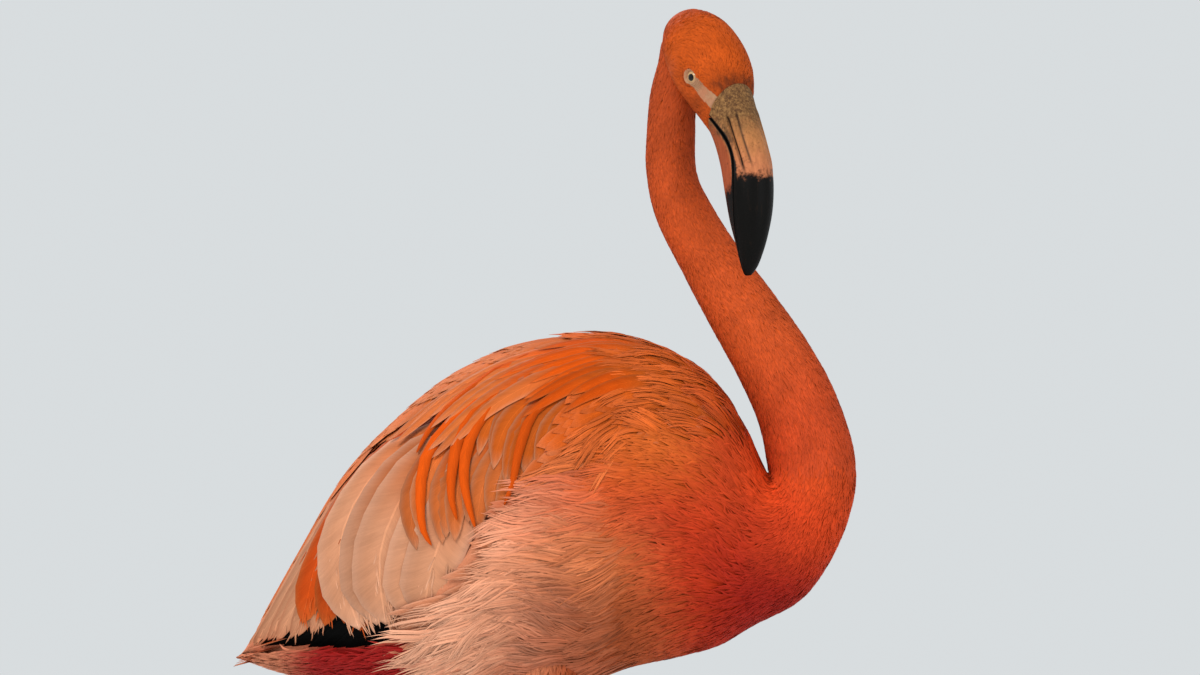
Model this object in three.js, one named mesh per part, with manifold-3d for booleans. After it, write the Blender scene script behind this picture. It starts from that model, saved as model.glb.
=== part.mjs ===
// A life-size American flamingo that stands at rest, with its neck in a loose S and its
// head turned to its right. Millimetres, +Z up, +X the way the body faces and +Y the
// bird's left. The origin is on the floor under the middle of the bird.
import * as THREE from "three";
import { mergeVertices } from "three/addons/utils/BufferGeometryUtils.js";
import Module from "manifold-3d";

const wasm = await Module();
wasm.setup();

// ---- Driving sizes ---------------------------------------------------------------

const GAP = 0.4; // left between neighbouring pieces
const SIDES = { right: -1, left: 1 }; // the sign of Y on each side of the bird

// Rings round the outer form of the plumage, from the breast to the tips of the wings.
// back and belly are [x, z] on the middle plane, and half is the half width there.
const BODY_RINGS = [
  { back: [166, 700], belly: [166, 700], half: 0 },
  { back: [163, 735], belly: [163, 662], half: 34 },
  { back: [155, 757], belly: [148, 641], half: 55 },
  { back: [142, 785], belly: [122, 626], half: 72 },
  { back: [120, 818], belly: [92, 618], half: 84 },
  { back: [84, 841], belly: [56, 610], half: 93 },
  { back: [37, 852], belly: [14, 595], half: 98 },
  { back: [-13, 848], belly: [-35, 585], half: 98 },
  { back: [-64, 828], belly: [-84, 585], half: 94 },
  { back: [-108, 795], belly: [-128, 591], half: 86 },
  { back: [-146, 755], belly: [-166, 599], half: 70 },
  { back: [-180, 698], belly: [-193, 606], half: 50 },
  { back: [-206, 652], belly: [-210, 612], half: 30 },
  { back: [-224, 617], belly: [-224, 617], half: 0 },
];

// The flesh and down under the folded wings, in the same terms.
const CORE_RINGS = [
  { back: [120, 700], belly: [120, 700], half: 0 },
  { back: [112, 770], belly: [104, 634], half: 54 },
  { back: [84, 806], belly: [66, 616], half: 74 },
  { back: [37, 820], belly: [20, 600], half: 84 },
  { back: [-13, 812], belly: [-32, 588], half: 87 },
  { back: [-62, 784], belly: [-82, 586], half: 84 },
  { back: [-104, 742], belly: [-126, 590], half: 76 },
  { back: [-142, 694], belly: [-164, 598], half: 62 },
  { back: [-174, 650], belly: [-190, 604], half: 42 },
  { back: [-202, 618], belly: [-202, 618], half: 0 },
];

// Rings down the neck, from inside the skull to inside the breast. back and front are
// [x, z] on the neck's own middle plane, which side shifts along Y.
const NECK_RINGS = [
  { back: [79.5, 1046], front: [112, 1034], half: 15, side: -5 },
  { back: [74, 1024], front: [107.5, 1016], half: 16.5, side: -2 },
  { back: [71.5, 997], front: [106.5, 997], half: 17, side: 0 },
  { back: [71, 968], front: [107.5, 967], half: 17.5, side: 2 },
  { back: [78, 934], front: [118, 944], half: 19, side: 3 },
  { back: [98, 893], front: [137, 914], half: 21, side: 3 },
  { back: [119, 853], front: [162, 881], half: 24, side: 2 },
  { back: [138, 818], front: [188, 844], half: 27, side: 1 },
  { back: [152, 786], front: [209, 804], half: 30, side: 0 },
  { back: [158, 757], front: [222, 756], half: 33, side: 0 },
  { back: [150, 722], front: [213, 708], half: 39, side: 0 },
  { back: [128, 700], front: [186, 663], half: 54, side: 0 },
  { back: [98, 690], front: [140, 632], half: 66, side: 0 },
];
const NECK_CUTS = { neck_upper: [0, 0.33], neck_middle: [0.33, 0.58], neck_lower: [0.58, 0.76], neck_base: [0.76, 1] };

// The head has its own frame: x to the bill, z to the crown. It is turned to the bird's
// right and nods, about a point in the middle of the skull.
const HEAD_PLACE = [114.5, -20, 1045];
const HEAD_TURN_DEG = 52;
const HEAD_NOD_DEG = 45;
const SKULL_RINGS = [
  { back: [-44, 2], belly: [-44, 2], half: 0 },
  { back: [-42, 12], belly: [-42, -8], half: 10.5 },
  { back: [-35, 20], belly: [-36, -16], half: 18.5 },
  { back: [-20, 27], belly: [-20, -24], half: 25.5 },
  { back: [-4, 29], belly: [0, -27], half: 28 },
  { back: [12, 27.5], belly: [20, -27], half: 27.5 },
  { back: [26, 22.5], belly: [37, -26.5], half: 24 },
  { back: [37, 15.5], belly: [52, -27], half: 19.8 },
];
const BILL_RINGS = [
  { back: [37.5, 15], belly: [52.5, -27.5], half: 19.3 },
  { back: [58, 8.5], belly: [61, -31], half: 17.6 },
  { back: [80, 1.5], belly: [74, -38], half: 16.6 },
  { back: [101, -8.5], belly: [90, -48], half: 16.6 },
  { back: [119, -25], belly: [106, -58], half: 14.8 },
  { back: [132, -44], belly: [121, -66], half: 11 },
  { back: [140, -62], belly: [133, -73], half: 7 },
  { back: [142, -72], belly: [138.5, -76], half: 3.5 },
];
const MOUTH_LINE = [[20, -13], [50, -11], [72, -17.5], [90, -29], [105, -45], [121, -60], [150, -84]];
const EYE = { x: 15.5, side: 20.5, z: 1.5, radius: 7.2 };

// The folded wing seen from the side: its front edge lies under the plumage of the flank,
// and its lower edge runs back in the round tips of the long inner feathers.
const WING_FRONT = [[98, 838], [70, 800], [30, 762], [-14, 722], [-52, 690], [-80, 660], [-98, 640]];
const WING_TIP = [-230, 616];
const FEATHER_TIPS = { count: 6, drop: 8 };

// The black outer wing feathers, which show under the inner ones, as seen from the side.
const QUILLS = [[-90, 660], [-96, 628], [-116, 613], [-127, 619], [-143, 611], [-155, 618], [-170, 612], [-186, 620], [-190, 660]];
const QUILL_THICKNESS = 3.2;

// The tail, a short fan of broad feathers under the wing tips.
const TAIL = { root: [-132, 0, 646], tip: [-219, 0, 606], halfRoot: 24, halfTip: 44, thickness: 7, feathers: 7 };

// Rings down the feathered thigh, [x, y, z, radius], the first of them inside the body.
// In every leg, y is measured outwards from the middle plane.
const THIGH_RINGS = [
  [2, 38, 640, 32],
  [-2, 38, 608, 29],
  [-8, 39, 581, 24],
  [-14, 40, 556, 17],
  [-19, 41, 534, 11.5],
  [-23, 42, 518, 8],
];
const LEG = { ankle: [-52, 44, 340], foot: [-34, 47, 15.6], tibia: 6.2, tarsus: 5.8 };
const ANKLE_RADII = [12, 10.5, 17];
const STRIDE = 18; // the right foot stands this far forwards, and the left as far back
const TOES = { spreadDeg: [-30, 0, 29], length: [70, 84, 76], root: 5, tip: 2.4, web: 2, hind: 14 };

// ---- Solids ----------------------------------------------------------------------

// A closed three.js geometry as a manifold-3d solid, turned face out.
function solid(geometry) {
  const loose = geometry.index ? geometry.toNonIndexed() : geometry;
  const bare = new THREE.BufferGeometry().setAttribute("position", loose.getAttribute("position"));
  const merged = mergeVertices(bare, 1e-3);
  const vertProperties = merged.attributes.position.array;
  const triVerts = new Uint32Array(merged.index.array);
  const made = new wasm.Manifold(new wasm.Mesh({ numProp: 3, vertProperties, triVerts }));
  if (made.volume() > 0) return made;
  triVerts.reverse();
  return new wasm.Manifold(new wasm.Mesh({ numProp: 3, vertProperties, triVerts }));
}

// A solid back as a three.js geometry. Stray slivers that a cut leaves are dropped.
function geometryOf(manifold) {
  const largest = manifold.decompose().sort((a, b) => b.volume() - a.volume())[0];
  const mesh = largest.getMesh();
  const geometry = new THREE.BufferGeometry();
  geometry.setAttribute("position", new THREE.BufferAttribute(mesh.vertProperties, 3));
  geometry.setIndex(new THREE.BufferAttribute(mesh.triVerts, 1));
  return geometry;
}

// A value read from a list at t from 0 to 1, on a smooth curve through its entries.
function smooth(values, t) {
  const last = values.length - 1;
  const at = Math.min(last - 1e-9, Math.max(0, t * last));
  const i = Math.floor(at);
  const u = at - i;
  const [a, b, c, d] = [-1, 0, 1, 2].map((k) => values[Math.min(last, Math.max(0, i + k))]);
  return 0.5 * (2 * b + (c - a) * u + (2 * a - 5 * b + 4 * c - d) * u * u + (3 * b - a - 3 * c + d) * u ** 3);
}

// A point on the skin of a ringed form: t runs along it, and turn round it from the back.
// grow moves the skin outwards.
function onRings(rings, t, turn, grow = 0) {
  const read = (of) => smooth(rings.map(of), t);
  const low = (r) => r.belly ?? r.front;
  const top = new THREE.Vector2(read((r) => r.back[0]), read((r) => r.back[1]));
  const bottom = new THREE.Vector2(read((r) => low(r)[0]), read((r) => low(r)[1]));
  const middle = top.clone().add(bottom).multiplyScalar(0.5);
  const up = top.sub(middle);
  const tall = Math.max(0, up.length());
  up.normalize().multiplyScalar(tall + grow);
  const half = Math.max(0, read((r) => r.half)) + grow;
  const out = Math.cos(turn);
  return new THREE.Vector3(
    middle.x + up.x * out,
    read((r) => r.side ?? 0) + half * Math.sin(turn),
    middle.y + up.y * out,
  );
}

// A ringed form as a solid. closed forms run to a point at both ends, and the others end
// in flat faces at t = from and t = to.
function ringed(rings, around, along, { closed = true, from = 0, to = 1, grow = 0 } = {}) {
  const geometry = closed
    ? new THREE.SphereGeometry(1, around, along)
    : new THREE.CylinderGeometry(1, 1, 1, around, along);
  const position = geometry.getAttribute("position");
  const at = new THREE.Vector3();
  for (let i = 0; i < position.count; i++) {
    at.fromBufferAttribute(position, i);
    const t = closed ? Math.acos(THREE.MathUtils.clamp(at.y, -1, 1)) / Math.PI : from + (0.5 - at.y) * (to - from);
    const rim = Math.hypot(at.x, at.z) > 1e-6;
    const turn = Math.atan2(at.z, at.x);
    const place = onRings(rings, t, turn, grow);
    if (!rim) place.lerp(onRings(rings, t, turn + Math.PI, grow), 0.5);
    position.setXYZ(i, place.x, place.y, place.z);
  }
  return solid(geometry);
}

// A flat outline in the XZ plane, as a slab from y = low to y = high.
function slab(outline, low, high) {
  const shape = new THREE.Shape(outline.map(([x, z]) => new THREE.Vector2(x, z)));
  const geometry = new THREE.ExtrudeGeometry(shape, { depth: high - low, bevelEnabled: false });
  geometry.rotateX(Math.PI / 2); // the outline's height now runs along +Z, and its depth along -Y
  geometry.translate(0, high, 0);
  return solid(geometry);
}

// A round limb between two points, with flat ends of radius r0 and r1.
function limb(from, to, r0, r1, around = 12) {
  const start = new THREE.Vector3(...from);
  const run = new THREE.Vector3(...to).sub(start);
  const geometry = new THREE.CylinderGeometry(r1, r0, run.length(), around, 1);
  geometry.translate(0, run.length() / 2, 0);
  const turn = new THREE.Quaternion().setFromUnitVectors(new THREE.Vector3(0, 1, 0), run.normalize());
  geometry.applyQuaternion(turn);
  geometry.translate(start.x, start.y, start.z);
  return solid(geometry);
}

function ball([x, y, z], radii, around = 16, along = 10) {
  const geometry = new THREE.SphereGeometry(1, around, along);
  geometry.scale(...radii);
  geometry.translate(x, y, z);
  return solid(geometry);
}

// ---- Plumage, flesh and horn -----------------------------------------------------

const paint = (colour, roughness) => new THREE.MeshStandardMaterial({ color: colour, roughness, metalness: 0 });
const FINISH = {
  plumage: paint("#d9541e", 0.85),
  pale: paint("#e8936a", 0.85),
  quill: paint("#14110f", 0.6),
  horn: paint("#c98a63", 0.5),
  black: paint("#15120f", 0.4),
  eye: paint("#e9d9a0", 0.1),
  leg: paint("#d8717a", 0.6),
};

const bird = new THREE.Group();

function add(parent, name, shape, finish) {
  const mesh = new THREE.Mesh(geometryOf(shape), FINISH[finish]);
  mesh.name = name;
  parent.add(mesh);
}

// The head's frame as a matrix, for cuts between the head and the neck.
const headFrame = new THREE.Object3D();
headFrame.position.set(...HEAD_PLACE);
headFrame.rotation.set(0, THREE.MathUtils.degToRad(HEAD_NOD_DEG), -THREE.MathUtils.degToRad(HEAD_TURN_DEG), "ZYX");
headFrame.updateMatrix();
const inWorld = (shape) => shape.transform(headFrame.matrix.elements);

function makeHead() {
  const skull = ringed(SKULL_RINGS, 20, 13, { closed: false });
  const bill = ringed(BILL_RINGS, 16, 16, { closed: false });
  const mouth = new THREE.SplineCurve(MOUTH_LINE.map((p) => new THREE.Vector2(...p))).getPoints(18);
  const over = mouth.map(({ x, y }) => [x, y + GAP / 2]);
  const under = mouth.map(({ x, y }) => [x, y - GAP / 2]);
  const wide = 60;
  const aboveMouth = slab([...over, [190, -84], [190, 90], [20, 90]], -wide, wide);
  const belowMouth = slab([...under, [150, -120], [20, -120]], -wide, wide);
  const sockets = [-1, 1].map((side) => ball([EYE.x, side * EYE.side, EYE.z], Array(3).fill(EYE.radius + GAP), 14, 8));
  const head = new THREE.Group();
  head.position.copy(headFrame.position);
  head.rotation.copy(headFrame.rotation);
  add(head, "head", sockets.reduce((made, socket) => made.subtract(socket), skull), "plumage");
  add(head, "bill_upper", bill.intersect(aboveMouth), "horn");
  add(head, "bill_lower", bill.intersect(belowMouth), "horn");
  for (const [side, sign] of Object.entries(SIDES))
    add(head, `${side}_eye`, ball([EYE.x, sign * EYE.side, EYE.z], Array(3).fill(EYE.radius), 14, 8), "eye");
  bird.add(head);
  return inWorld(ringed(SKULL_RINGS, 20, 13, { closed: false, grow: GAP }));
}

function makeNeck(skull, body) {
  for (const [name, [from, to]] of Object.entries(NECK_CUTS)) {
    const along = Math.round((to - from) * 28);
    const length = ringed(NECK_RINGS, 16, along, { closed: false, from, to: to < 1 ? to - 0.001 : to });
    add(bird, name, length.subtract(skull).subtract(body), "plumage");
  }
}

// The outline of a folded wing from the side, grown outwards by a margin.
function wingOutline(margin) {
  const [frontX, frontZ] = WING_FRONT.at(-1);
  const lower = [];
  for (let i = 0; i < FEATHER_TIPS.count; i++) {
    for (const share of [0.12, 0.31, 0.5, 0.69, 0.88]) {
      const t = (i + share) / FEATHER_TIPS.count;
      const x = frontX + (WING_TIP[0] - frontX) * t;
      const z = frontZ + (WING_TIP[1] - frontZ) * t - FEATHER_TIPS.drop * Math.sin(Math.PI * share);
      lower.push([x, z - margin]);
    }
  }
  const front = WING_FRONT.map(([x, z]) => [x + margin, z - margin]);
  return [[98 + margin, 900], ...front, ...lower, [-260, WING_TIP[1] - margin], [-260, 900]];
}

// The tail's fan, seen from above as a row of round feather ends.
function tailFan(grow) {
  const { root, tip, halfRoot, halfTip, thickness, feathers } = TAIL;
  const run = new THREE.Vector3(tip[0] - root[0], 0, tip[2] - root[2]);
  const length = run.length();
  const shape = new THREE.Shape();
  shape.moveTo(0, -halfRoot - grow);
  for (let i = 0; i < feathers; i++) {
    for (const share of [0, 0.25, 0.5, 0.75, 1]) {
      const across = ((i + share) / feathers) * 2 - 1;
      const end = length * (1 - 0.12 * across * across) - 5 * (1 - Math.sin(Math.PI * share));
      shape.lineTo(end + grow, across * (halfTip + grow));
    }
  }
  shape.lineTo(0, halfRoot + grow);
  const depth = thickness + 2 * grow;
  const geometry = new THREE.ExtrudeGeometry(shape, { depth, bevelEnabled: false });
  geometry.translate(0, 0, -depth / 2);
  const along = run.normalize();
  const across = new THREE.Vector3(0, 1, 0);
  const up = new THREE.Vector3().crossVectors(along, across);
  geometry.applyMatrix4(new THREE.Matrix4().makeBasis(along, across, up).setPosition(...root));
  return solid(geometry);
}

function makeBody() {
  const body = (grow) => ringed(BODY_RINGS, 26, 24, { grow });
  const core = (grow) => ringed(CORE_RINGS, 22, 16, { grow });
  const wide = 200;
  const wingRoom = slab(wingOutline(GAP), -wide, wide);
  const quillRoom = slab(QUILLS.map(([x, z]) => [x, z - GAP]), -wide, wide).subtract(body(-QUILL_THICKNESS - GAP));
  const tailRoom = tailFan(GAP);
  const trunk = body(0).subtract(wingRoom.subtract(core(0))).subtract(quillRoom).subtract(tailRoom);
  for (const [side, sign] of Object.entries(SIDES)) {
    const [low, high] = sign < 0 ? [-wide, -GAP / 2] : [GAP / 2, wide];
    const wing = body(0).intersect(slab(wingOutline(0), low, high)).subtract(core(GAP)).subtract(tailRoom);
    const quills = body(0).intersect(slab(QUILLS, low, high)).subtract(body(-QUILL_THICKNESS));
    add(bird, `${side}_wing`, wing, "pale");
    add(bird, `${side}_quills`, quills.subtract(wingRoom).subtract(tailRoom), "quill");
  }
  add(bird, "trunk", trunk, "plumage");
  add(bird, "tail", tailFan(0), "plumage");
}

// ---- Legs ------------------------------------------------------------------------

// One foot with its sole on z = 0, and three front toes joined by a web.
function footSolid([x, y], sign) {
  const { spreadDeg, length, root, tip, web, hind } = TOES;
  const ends = spreadDeg.map((degrees, i) => {
    const turn = THREE.MathUtils.degToRad(degrees * sign);
    return new THREE.Vector2(x + length[i] * Math.cos(turn), y + length[i] * Math.sin(turn));
  });
  const heel = new THREE.Vector2(x - 4, y);
  const [inner, middle, outer] = ends.map((end) => end.clone().lerp(heel, 0.12));
  const notch = (a, b) => a.clone().add(b).multiplyScalar(0.5).lerp(heel, 0.26);
  const shape = new THREE.Shape([heel, inner]);
  shape.quadraticCurveTo(...notch(inner, middle), ...middle);
  shape.quadraticCurveTo(...notch(middle, outer), ...outer);
  shape.lineTo(...heel);
  let made = solid(new THREE.ExtrudeGeometry(shape, { depth: web, bevelEnabled: false, curveSegments: 5 }));
  for (const end of ends) made = made.add(limb([x, y, root * 0.6], [end.x, end.y, tip * 0.5], root, tip, 10));
  made = made.add(ball([x, y, 6], [8.5, 8, 9], 14, 8));
  made = made.add(limb([x - 3, y, 9], [x - 6 - hind, y, 4], 3.2, 1.4, 8));
  const floor = [[x - 60, -20], [x + 140, -20], [x + 140, 0], [x - 60, 0]];
  return made.subtract(slab(floor, y - 120, y + 120));
}

function makeLegs(body) {
  for (const [side, sign] of Object.entries(SIDES)) {
    const shift = -sign * STRIDE;
    const [ankleX, ankleY, ankleZ] = LEG.ankle;
    const ankle = [ankleX + shift * 0.45, sign * ankleY, ankleZ];
    const foot = [LEG.foot[0] + shift, sign * LEG.foot[1], LEG.foot[2]];
    const knee = THIGH_RINGS.at(-1);
    const rings = THIGH_RINGS.map(([x, y, z, radius]) => ({
      back: [x + radius, z],
      front: [x - radius, z],
      half: radius,
      side: sign * y,
    }));
    add(bird, `${side}_thigh`, ringed(rings, 16, 8, { closed: false }).subtract(body), "plumage");
    const joint = ball(ankle, ANKLE_RADII, 12, 8);
    const jointRoom = ball(ankle, ANKLE_RADII.map((r) => r + GAP), 12, 8);
    const top = [knee[0], sign * knee[1], knee[2] - 2.2];
    add(bird, `${side}_tibia`, limb(top, ankle, LEG.tibia + 1, LEG.tibia).subtract(jointRoom), "leg");
    add(bird, `${side}_ankle`, joint, "leg");
    const tarsus = limb(ankle, foot, LEG.tarsus, LEG.tarsus - 0.4);
    add(bird, `${side}_tarsus`, tarsus.subtract(jointRoom), "leg");
    add(bird, `${side}_foot`, footSolid(foot, sign), "leg");
  }
}

const bodyRoom = ringed(BODY_RINGS, 26, 24, { grow: GAP });
makeBody();
makeNeck(makeHead(), bodyRoom);
makeLegs(bodyRoom);

// The bird is stood with the middle of its bounding box over the origin.
bird.updateMatrixWorld(true);
const extent = new THREE.Box3().setFromObject(bird, true);
const middle = extent.getCenter(new THREE.Vector3());
bird.position.set(-middle.x, -middle.y, -extent.min.z);

const model = new THREE.Group();
model.add(bird);

export default model;
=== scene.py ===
"""A life-size American flamingo, standing at rest: skin, bill, eyes, claws and every feather.

Lengths in the tables are millimetres, +X the way the body faces, +Y the bird's left and +Z
up, and SHIFT takes them to the packed part's origin. Meshes are written in metres.
"""

import math
from functools import cache

import bpy
import numpy as np
from mathutils import Matrix, Vector
from mathutils.kdtree import KDTree


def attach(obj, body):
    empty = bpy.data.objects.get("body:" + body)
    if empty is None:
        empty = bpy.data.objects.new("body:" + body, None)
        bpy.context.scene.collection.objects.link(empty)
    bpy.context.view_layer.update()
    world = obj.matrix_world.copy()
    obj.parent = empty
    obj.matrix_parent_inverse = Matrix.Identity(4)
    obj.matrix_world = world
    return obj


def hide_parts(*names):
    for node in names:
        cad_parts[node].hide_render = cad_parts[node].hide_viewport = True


bl_info = {
    "name": "Flamingo",
    "version": (1, 0, 0),
    "blender": (4, 5, 0),
    "location": "View3D > Sidebar > Flamingo",
    "description": "Builds a life-size standing flamingo with its plumage",
    "category": "Object",
}

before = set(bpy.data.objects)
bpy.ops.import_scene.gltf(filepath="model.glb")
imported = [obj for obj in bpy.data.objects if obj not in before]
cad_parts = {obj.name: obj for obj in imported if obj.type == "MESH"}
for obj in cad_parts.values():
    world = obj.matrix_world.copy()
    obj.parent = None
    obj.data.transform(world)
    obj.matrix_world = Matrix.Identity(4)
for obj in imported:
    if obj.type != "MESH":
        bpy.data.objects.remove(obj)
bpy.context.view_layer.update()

MM = 0.001
PI = math.pi
TAU = 2 * PI
SHIFT = np.array([0.9, 0.0, 0.0])  # from the tables below to the part's origin

# ---- The bird's forms ----
# Each ring is (back x, back z, front x, front z, half width, side shift), and the rings
# follow one another in the way that the feathers lie.

NAPE_RINGS = [
    (91, 1075, 112, 1063, 11, -8),
    (82.5, 1061, 113, 1050, 15, -6),
]
TORSO_RINGS = [
    (79.5, 1046, 112, 1034, 15, -5),
    (74, 1024, 107.5, 1016, 16.5, -2),
    (71.5, 997, 106.5, 997, 17, 0),
    (71, 968, 107.5, 967, 17.5, 2),
    (78, 934, 118, 944, 19, 3),
    (98, 893, 137, 914, 21, 3),
    (119, 853, 162, 881, 24, 2),
    (138, 818, 188, 844, 27, 1),
    (152, 786, 209, 804, 30, 0),
    (158, 757, 222, 756, 34, 0),
    (159, 750, 213, 708, 43, 0),
    (158, 750, 186, 663, 54, 0),
    (154, 757, 148, 641, 63, 0),
    (142, 785, 122, 626, 73, 0),
    (120, 818, 92, 618, 84, 0),
    (84, 841, 56, 610, 93, 0),
    (37, 852, 14, 595, 98, 0),
    (-13, 848, -35, 585, 98, 0),
    (-64, 828, -84, 585, 94, 0),
    (-108, 795, -128, 591, 86, 0),
    (-146, 755, -166, 599, 70, 0),
    (-180, 698, -193, 606, 50, 0),
    (-206, 652, -210, 612, 30, 0),
    (-224, 617, -224, 617, 0, 0),
]

HEAD_PLACE = (114.5, -20, 1045)
HEAD_TURN = math.radians(52)
HEAD_NOD = math.radians(45)
HEAD_RINGS = [
    (37, 15.5, 52, -27, 19.8, 0),
    (26, 22.5, 37, -26.5, 24, 0),
    (12, 27.5, 20, -27, 27.5, 0),
    (-4, 29, 0, -27, 28, 0),
    (-20, 27, -20, -24, 25.5, 0),
    (-35, 20, -36, -16, 18.5, 0),
    (-42, 12, -42, -8, 10.5, 0),
    (-44, 2, -44, 2, 0, 0),
]
BILL_RINGS = [
    (37.5, 15, 52.5, -27.5, 19.3, 0),
    (58, 8.5, 61, -31, 17.6, 0),
    (80, 1.5, 74, -38, 16.6, 0),
    (101, -8.5, 90, -48, 16.6, 0),
    (119, -25, 106, -58, 14.8, 0),
    (132, -44, 121, -66, 11, 0),
    (140, -62, 133, -73, 7, 0),
    (142, -72, 138.5, -76, 3.5, 0),
    (141.2, -75.2, 140.2, -76.2, 1, 0),
]
MOUTH_LINE = [
    (20, -13), (50, -9.5), (72, -11), (90, -19.5), (105, -34.5), (121, -53.5), (140, -74), (150, -86),
]
MOUTH_GAP = 1.5
EYE = {"x": 17.0, "side": 19.2, "z": 1.5}
LORE_END = (40, 0.0)  # where the bare skin before the eye meets the bill

THIGH_RINGS = [  # x, distance from the middle, z and radius
    (2, 28, 636, 26), (-2, 34, 608, 25), (-8, 38, 581, 23),
    (-14, 40, 556, 17), (-19, 41, 534, 11.5), (-23, 42, 518, 8),
]
LEG = {"ankle": (-52, 44, 340), "foot": (-34, 47), "sole": 7.0}
TIBIA_RADII = (7.6, 7.4, 6.6, 6.2, 6.0, 6.1, 6.6)
TARSUS_RADII = (7.4, 6.0, 5.5, 5.3, 5.2, 5.4, 6.4, 7.6)
HEEL_RADII = (8.5, 8, 9)
ANKLE_RADII = (12, 10.5, 17)
STRIDE = 18  # how far each foot stands from their middle
TOES = {"spread": (-30, 0, 29), "length": (70, 84, 76), "root": 5, "tip": 2.4, "web": 2.0, "hind": 17.2}
SIDES = {"right": -1, "left": 1}


def spline(table, t):
    """Rows of a table read at t from 0 to 1, on a smooth curve through its entries."""
    table = np.asarray(table, float)
    last = len(table) - 1
    at = np.clip(np.asarray(t, float) * last, 0, last - 1e-9)
    i = np.floor(at).astype(int)
    u = (at - i)[..., None]
    a, b, c, d = (table[np.clip(i + k, 0, last)] for k in (-1, 0, 1, 2))
    return 0.5 * (2 * b + (c - a) * u + (2 * a - 5 * b + 4 * c - d) * u**2 + (3 * b - a - 3 * c + d) * u**3)


def unit(v):
    return v / np.maximum(np.linalg.norm(v, axis=-1, keepdims=True), 1e-9)


def dot(a, b):
    return np.sum(a * b, -1)


def ease(low, high, value):
    """0 below low, 1 above high, and smooth between them."""
    s = np.clip((value - low) / (high - low), 0, 1)
    return s * s * (3 - 2 * s)


def mix(a, b, share):
    share = np.asarray(share, float)[..., None]
    return a * (1 - share) + b * share


def pace(count, power=1.5):
    """Shares from 0 to 1 that come closer together towards 1, where feathers end."""
    return 1 - (1 - np.linspace(0, 1, count)) ** power


class Form:
    """A form given by rings. t runs along it with the feathers, and turn round it from the back."""

    def __init__(self, rings, relief=None, placed=None, outward=1, unwrap=(0.0, 1.0), before=()):
        self.rings = [*before, *rings]
        self.start = -len(before) / (len(rings) - 1)  # t at the first ring; t is 0 at the first of rings
        self.unwrap = unwrap  # where on the width of a map t runs
        self.relief = relief
        self.basis, self.origin = placed or (np.eye(3), SHIFT)
        self.outward = outward

    def plain(self, t, turn, grow):
        ring = spline(self.rings, (t - self.start) / (1 - self.start))
        top, low = ring[..., 0:2], ring[..., 2:4]
        middle = (top + low) / 2
        up = top - middle
        tall = np.linalg.norm(up, axis=-1, keepdims=True)
        up = up / np.maximum(tall, 1e-6)
        grow = np.asarray(grow, float)
        out = np.maximum(tall[..., 0] + grow, 0.05) * np.cos(turn)
        flat = middle + up * out[..., None]
        half = np.maximum(np.maximum(ring[..., 4], 0) + grow, 0.05)
        side = ring[..., 5] + half * np.sin(turn)
        return np.stack([flat[..., 0], side, flat[..., 1]], -1)

    def point(self, t, turn, grow=0.0):
        """Places on the form, in millimetres in the part's frame."""
        if self.relief is not None:
            grow = grow + self.relief(self.plain(t, turn, 0.0))
        return self.plain(t, turn, grow) @ self.basis.T + self.origin

    def axes(self, t, turn, grow=0.0):
        """Places, outward normals, and how far they move for each unit of t and of turn."""
        e = 1e-3
        along = (self.point(t + e, turn, grow) - self.point(t - e, turn, grow)) / (2 * e)
        around = (self.point(t, turn + e, grow) - self.point(t, turn - e, grow)) / (2 * e)
        normal = unit(np.cross(around, along)) * self.outward
        return self.point(t, turn, grow), normal, along, around


def head_frame():
    turn = Matrix.Rotation(-HEAD_TURN, 3, "Z") @ Matrix.Rotation(HEAD_NOD, 3, "Y")
    return np.array(turn), np.array(HEAD_PLACE) + SHIFT


HEAD_BASIS, HEAD_ORIGIN = head_frame()


def to_head(points):
    """Places in the part's frame as places in the head's own frame."""
    return (points - HEAD_ORIGIN) @ HEAD_BASIS


def bell(value, middle, width):
    """1 at the middle, and smoothly less on both sides of it."""
    return np.exp(-(((value - middle) / width) ** 2))


def by_eye(q):
    """How far places in the head's frame are from the eye, on towards the bill, and off that line."""
    x, z = q[..., 0], q[..., 2]
    along = np.clip((x - EYE["x"]) / (LORE_END[0] - EYE["x"]), 0, 1)
    off = z - (EYE["z"] + (LORE_END[1] - EYE["z"]) * along)
    return np.hypot(x - EYE["x"], z - EYE["z"]), along, off


def face_relief(q):
    """How the face stands out from a plain egg: brow, cheek, the eye's socket and the lores."""
    x, side, z = q[..., 0], np.abs(q[..., 1]), q[..., 2]
    to_eye, _, off_lore = by_eye(q)
    brow = 1.1 * bell(x, 16, 12) * bell(z, 11.5, 4)
    cheek = 1.4 * bell(x, 6, 13) * bell(z, -13, 6)
    socket = -2.6 * bell(to_eye, 0, 8.5)
    lids = 2.2 * bell(to_eye, 5.6, 1.7)
    lore = -1.5 * bell(off_lore, 0, 4.5) * ease(20, 27, x)
    folds = 0.32 * np.sin((x - 20) * 1.6 + off_lore * 0.35) * bell(off_lore, 0, 4) * ease(20, 23, x)
    return ease(8, 18, side) * (brow + cheek + socket + lids + lore + folds)


def bill_relief(q):
    """The bill's nostril groove, the ridge along its culmen, and the swell beside the mouth."""
    x, side, z = q[..., 0], np.abs(q[..., 1]), q[..., 2]
    over = z - nostril_height(x)
    slit = -1.9 * bell(over, 0, 1.15) * ease(54, 60, x) * (1 - ease(84, 100, x))
    ridge = 0.7 * bell(over, 2.6, 1.2) - 0.8 * bell(over, 5.2, 1.3)
    ridge = ridge * ease(50, 58, x) * (1 - ease(88, 104, x))
    lip = 0.7 * bell(z, mouth_height(x), 1.8) * ease(44, 60, x) * (1 - ease(120, 138, x))
    hollow = -0.9 * bell(over, -4.5, 3.0) * ease(44, 62, x) * (1 - ease(82, 104, x))
    return ease(5, 12, side) * (slit + ridge + lip + hollow)


def mouth_height(x):
    line = spline(MOUTH_LINE, np.linspace(0, 1, 80))
    return np.interp(x, line[:, 0], line[:, 1])


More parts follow.
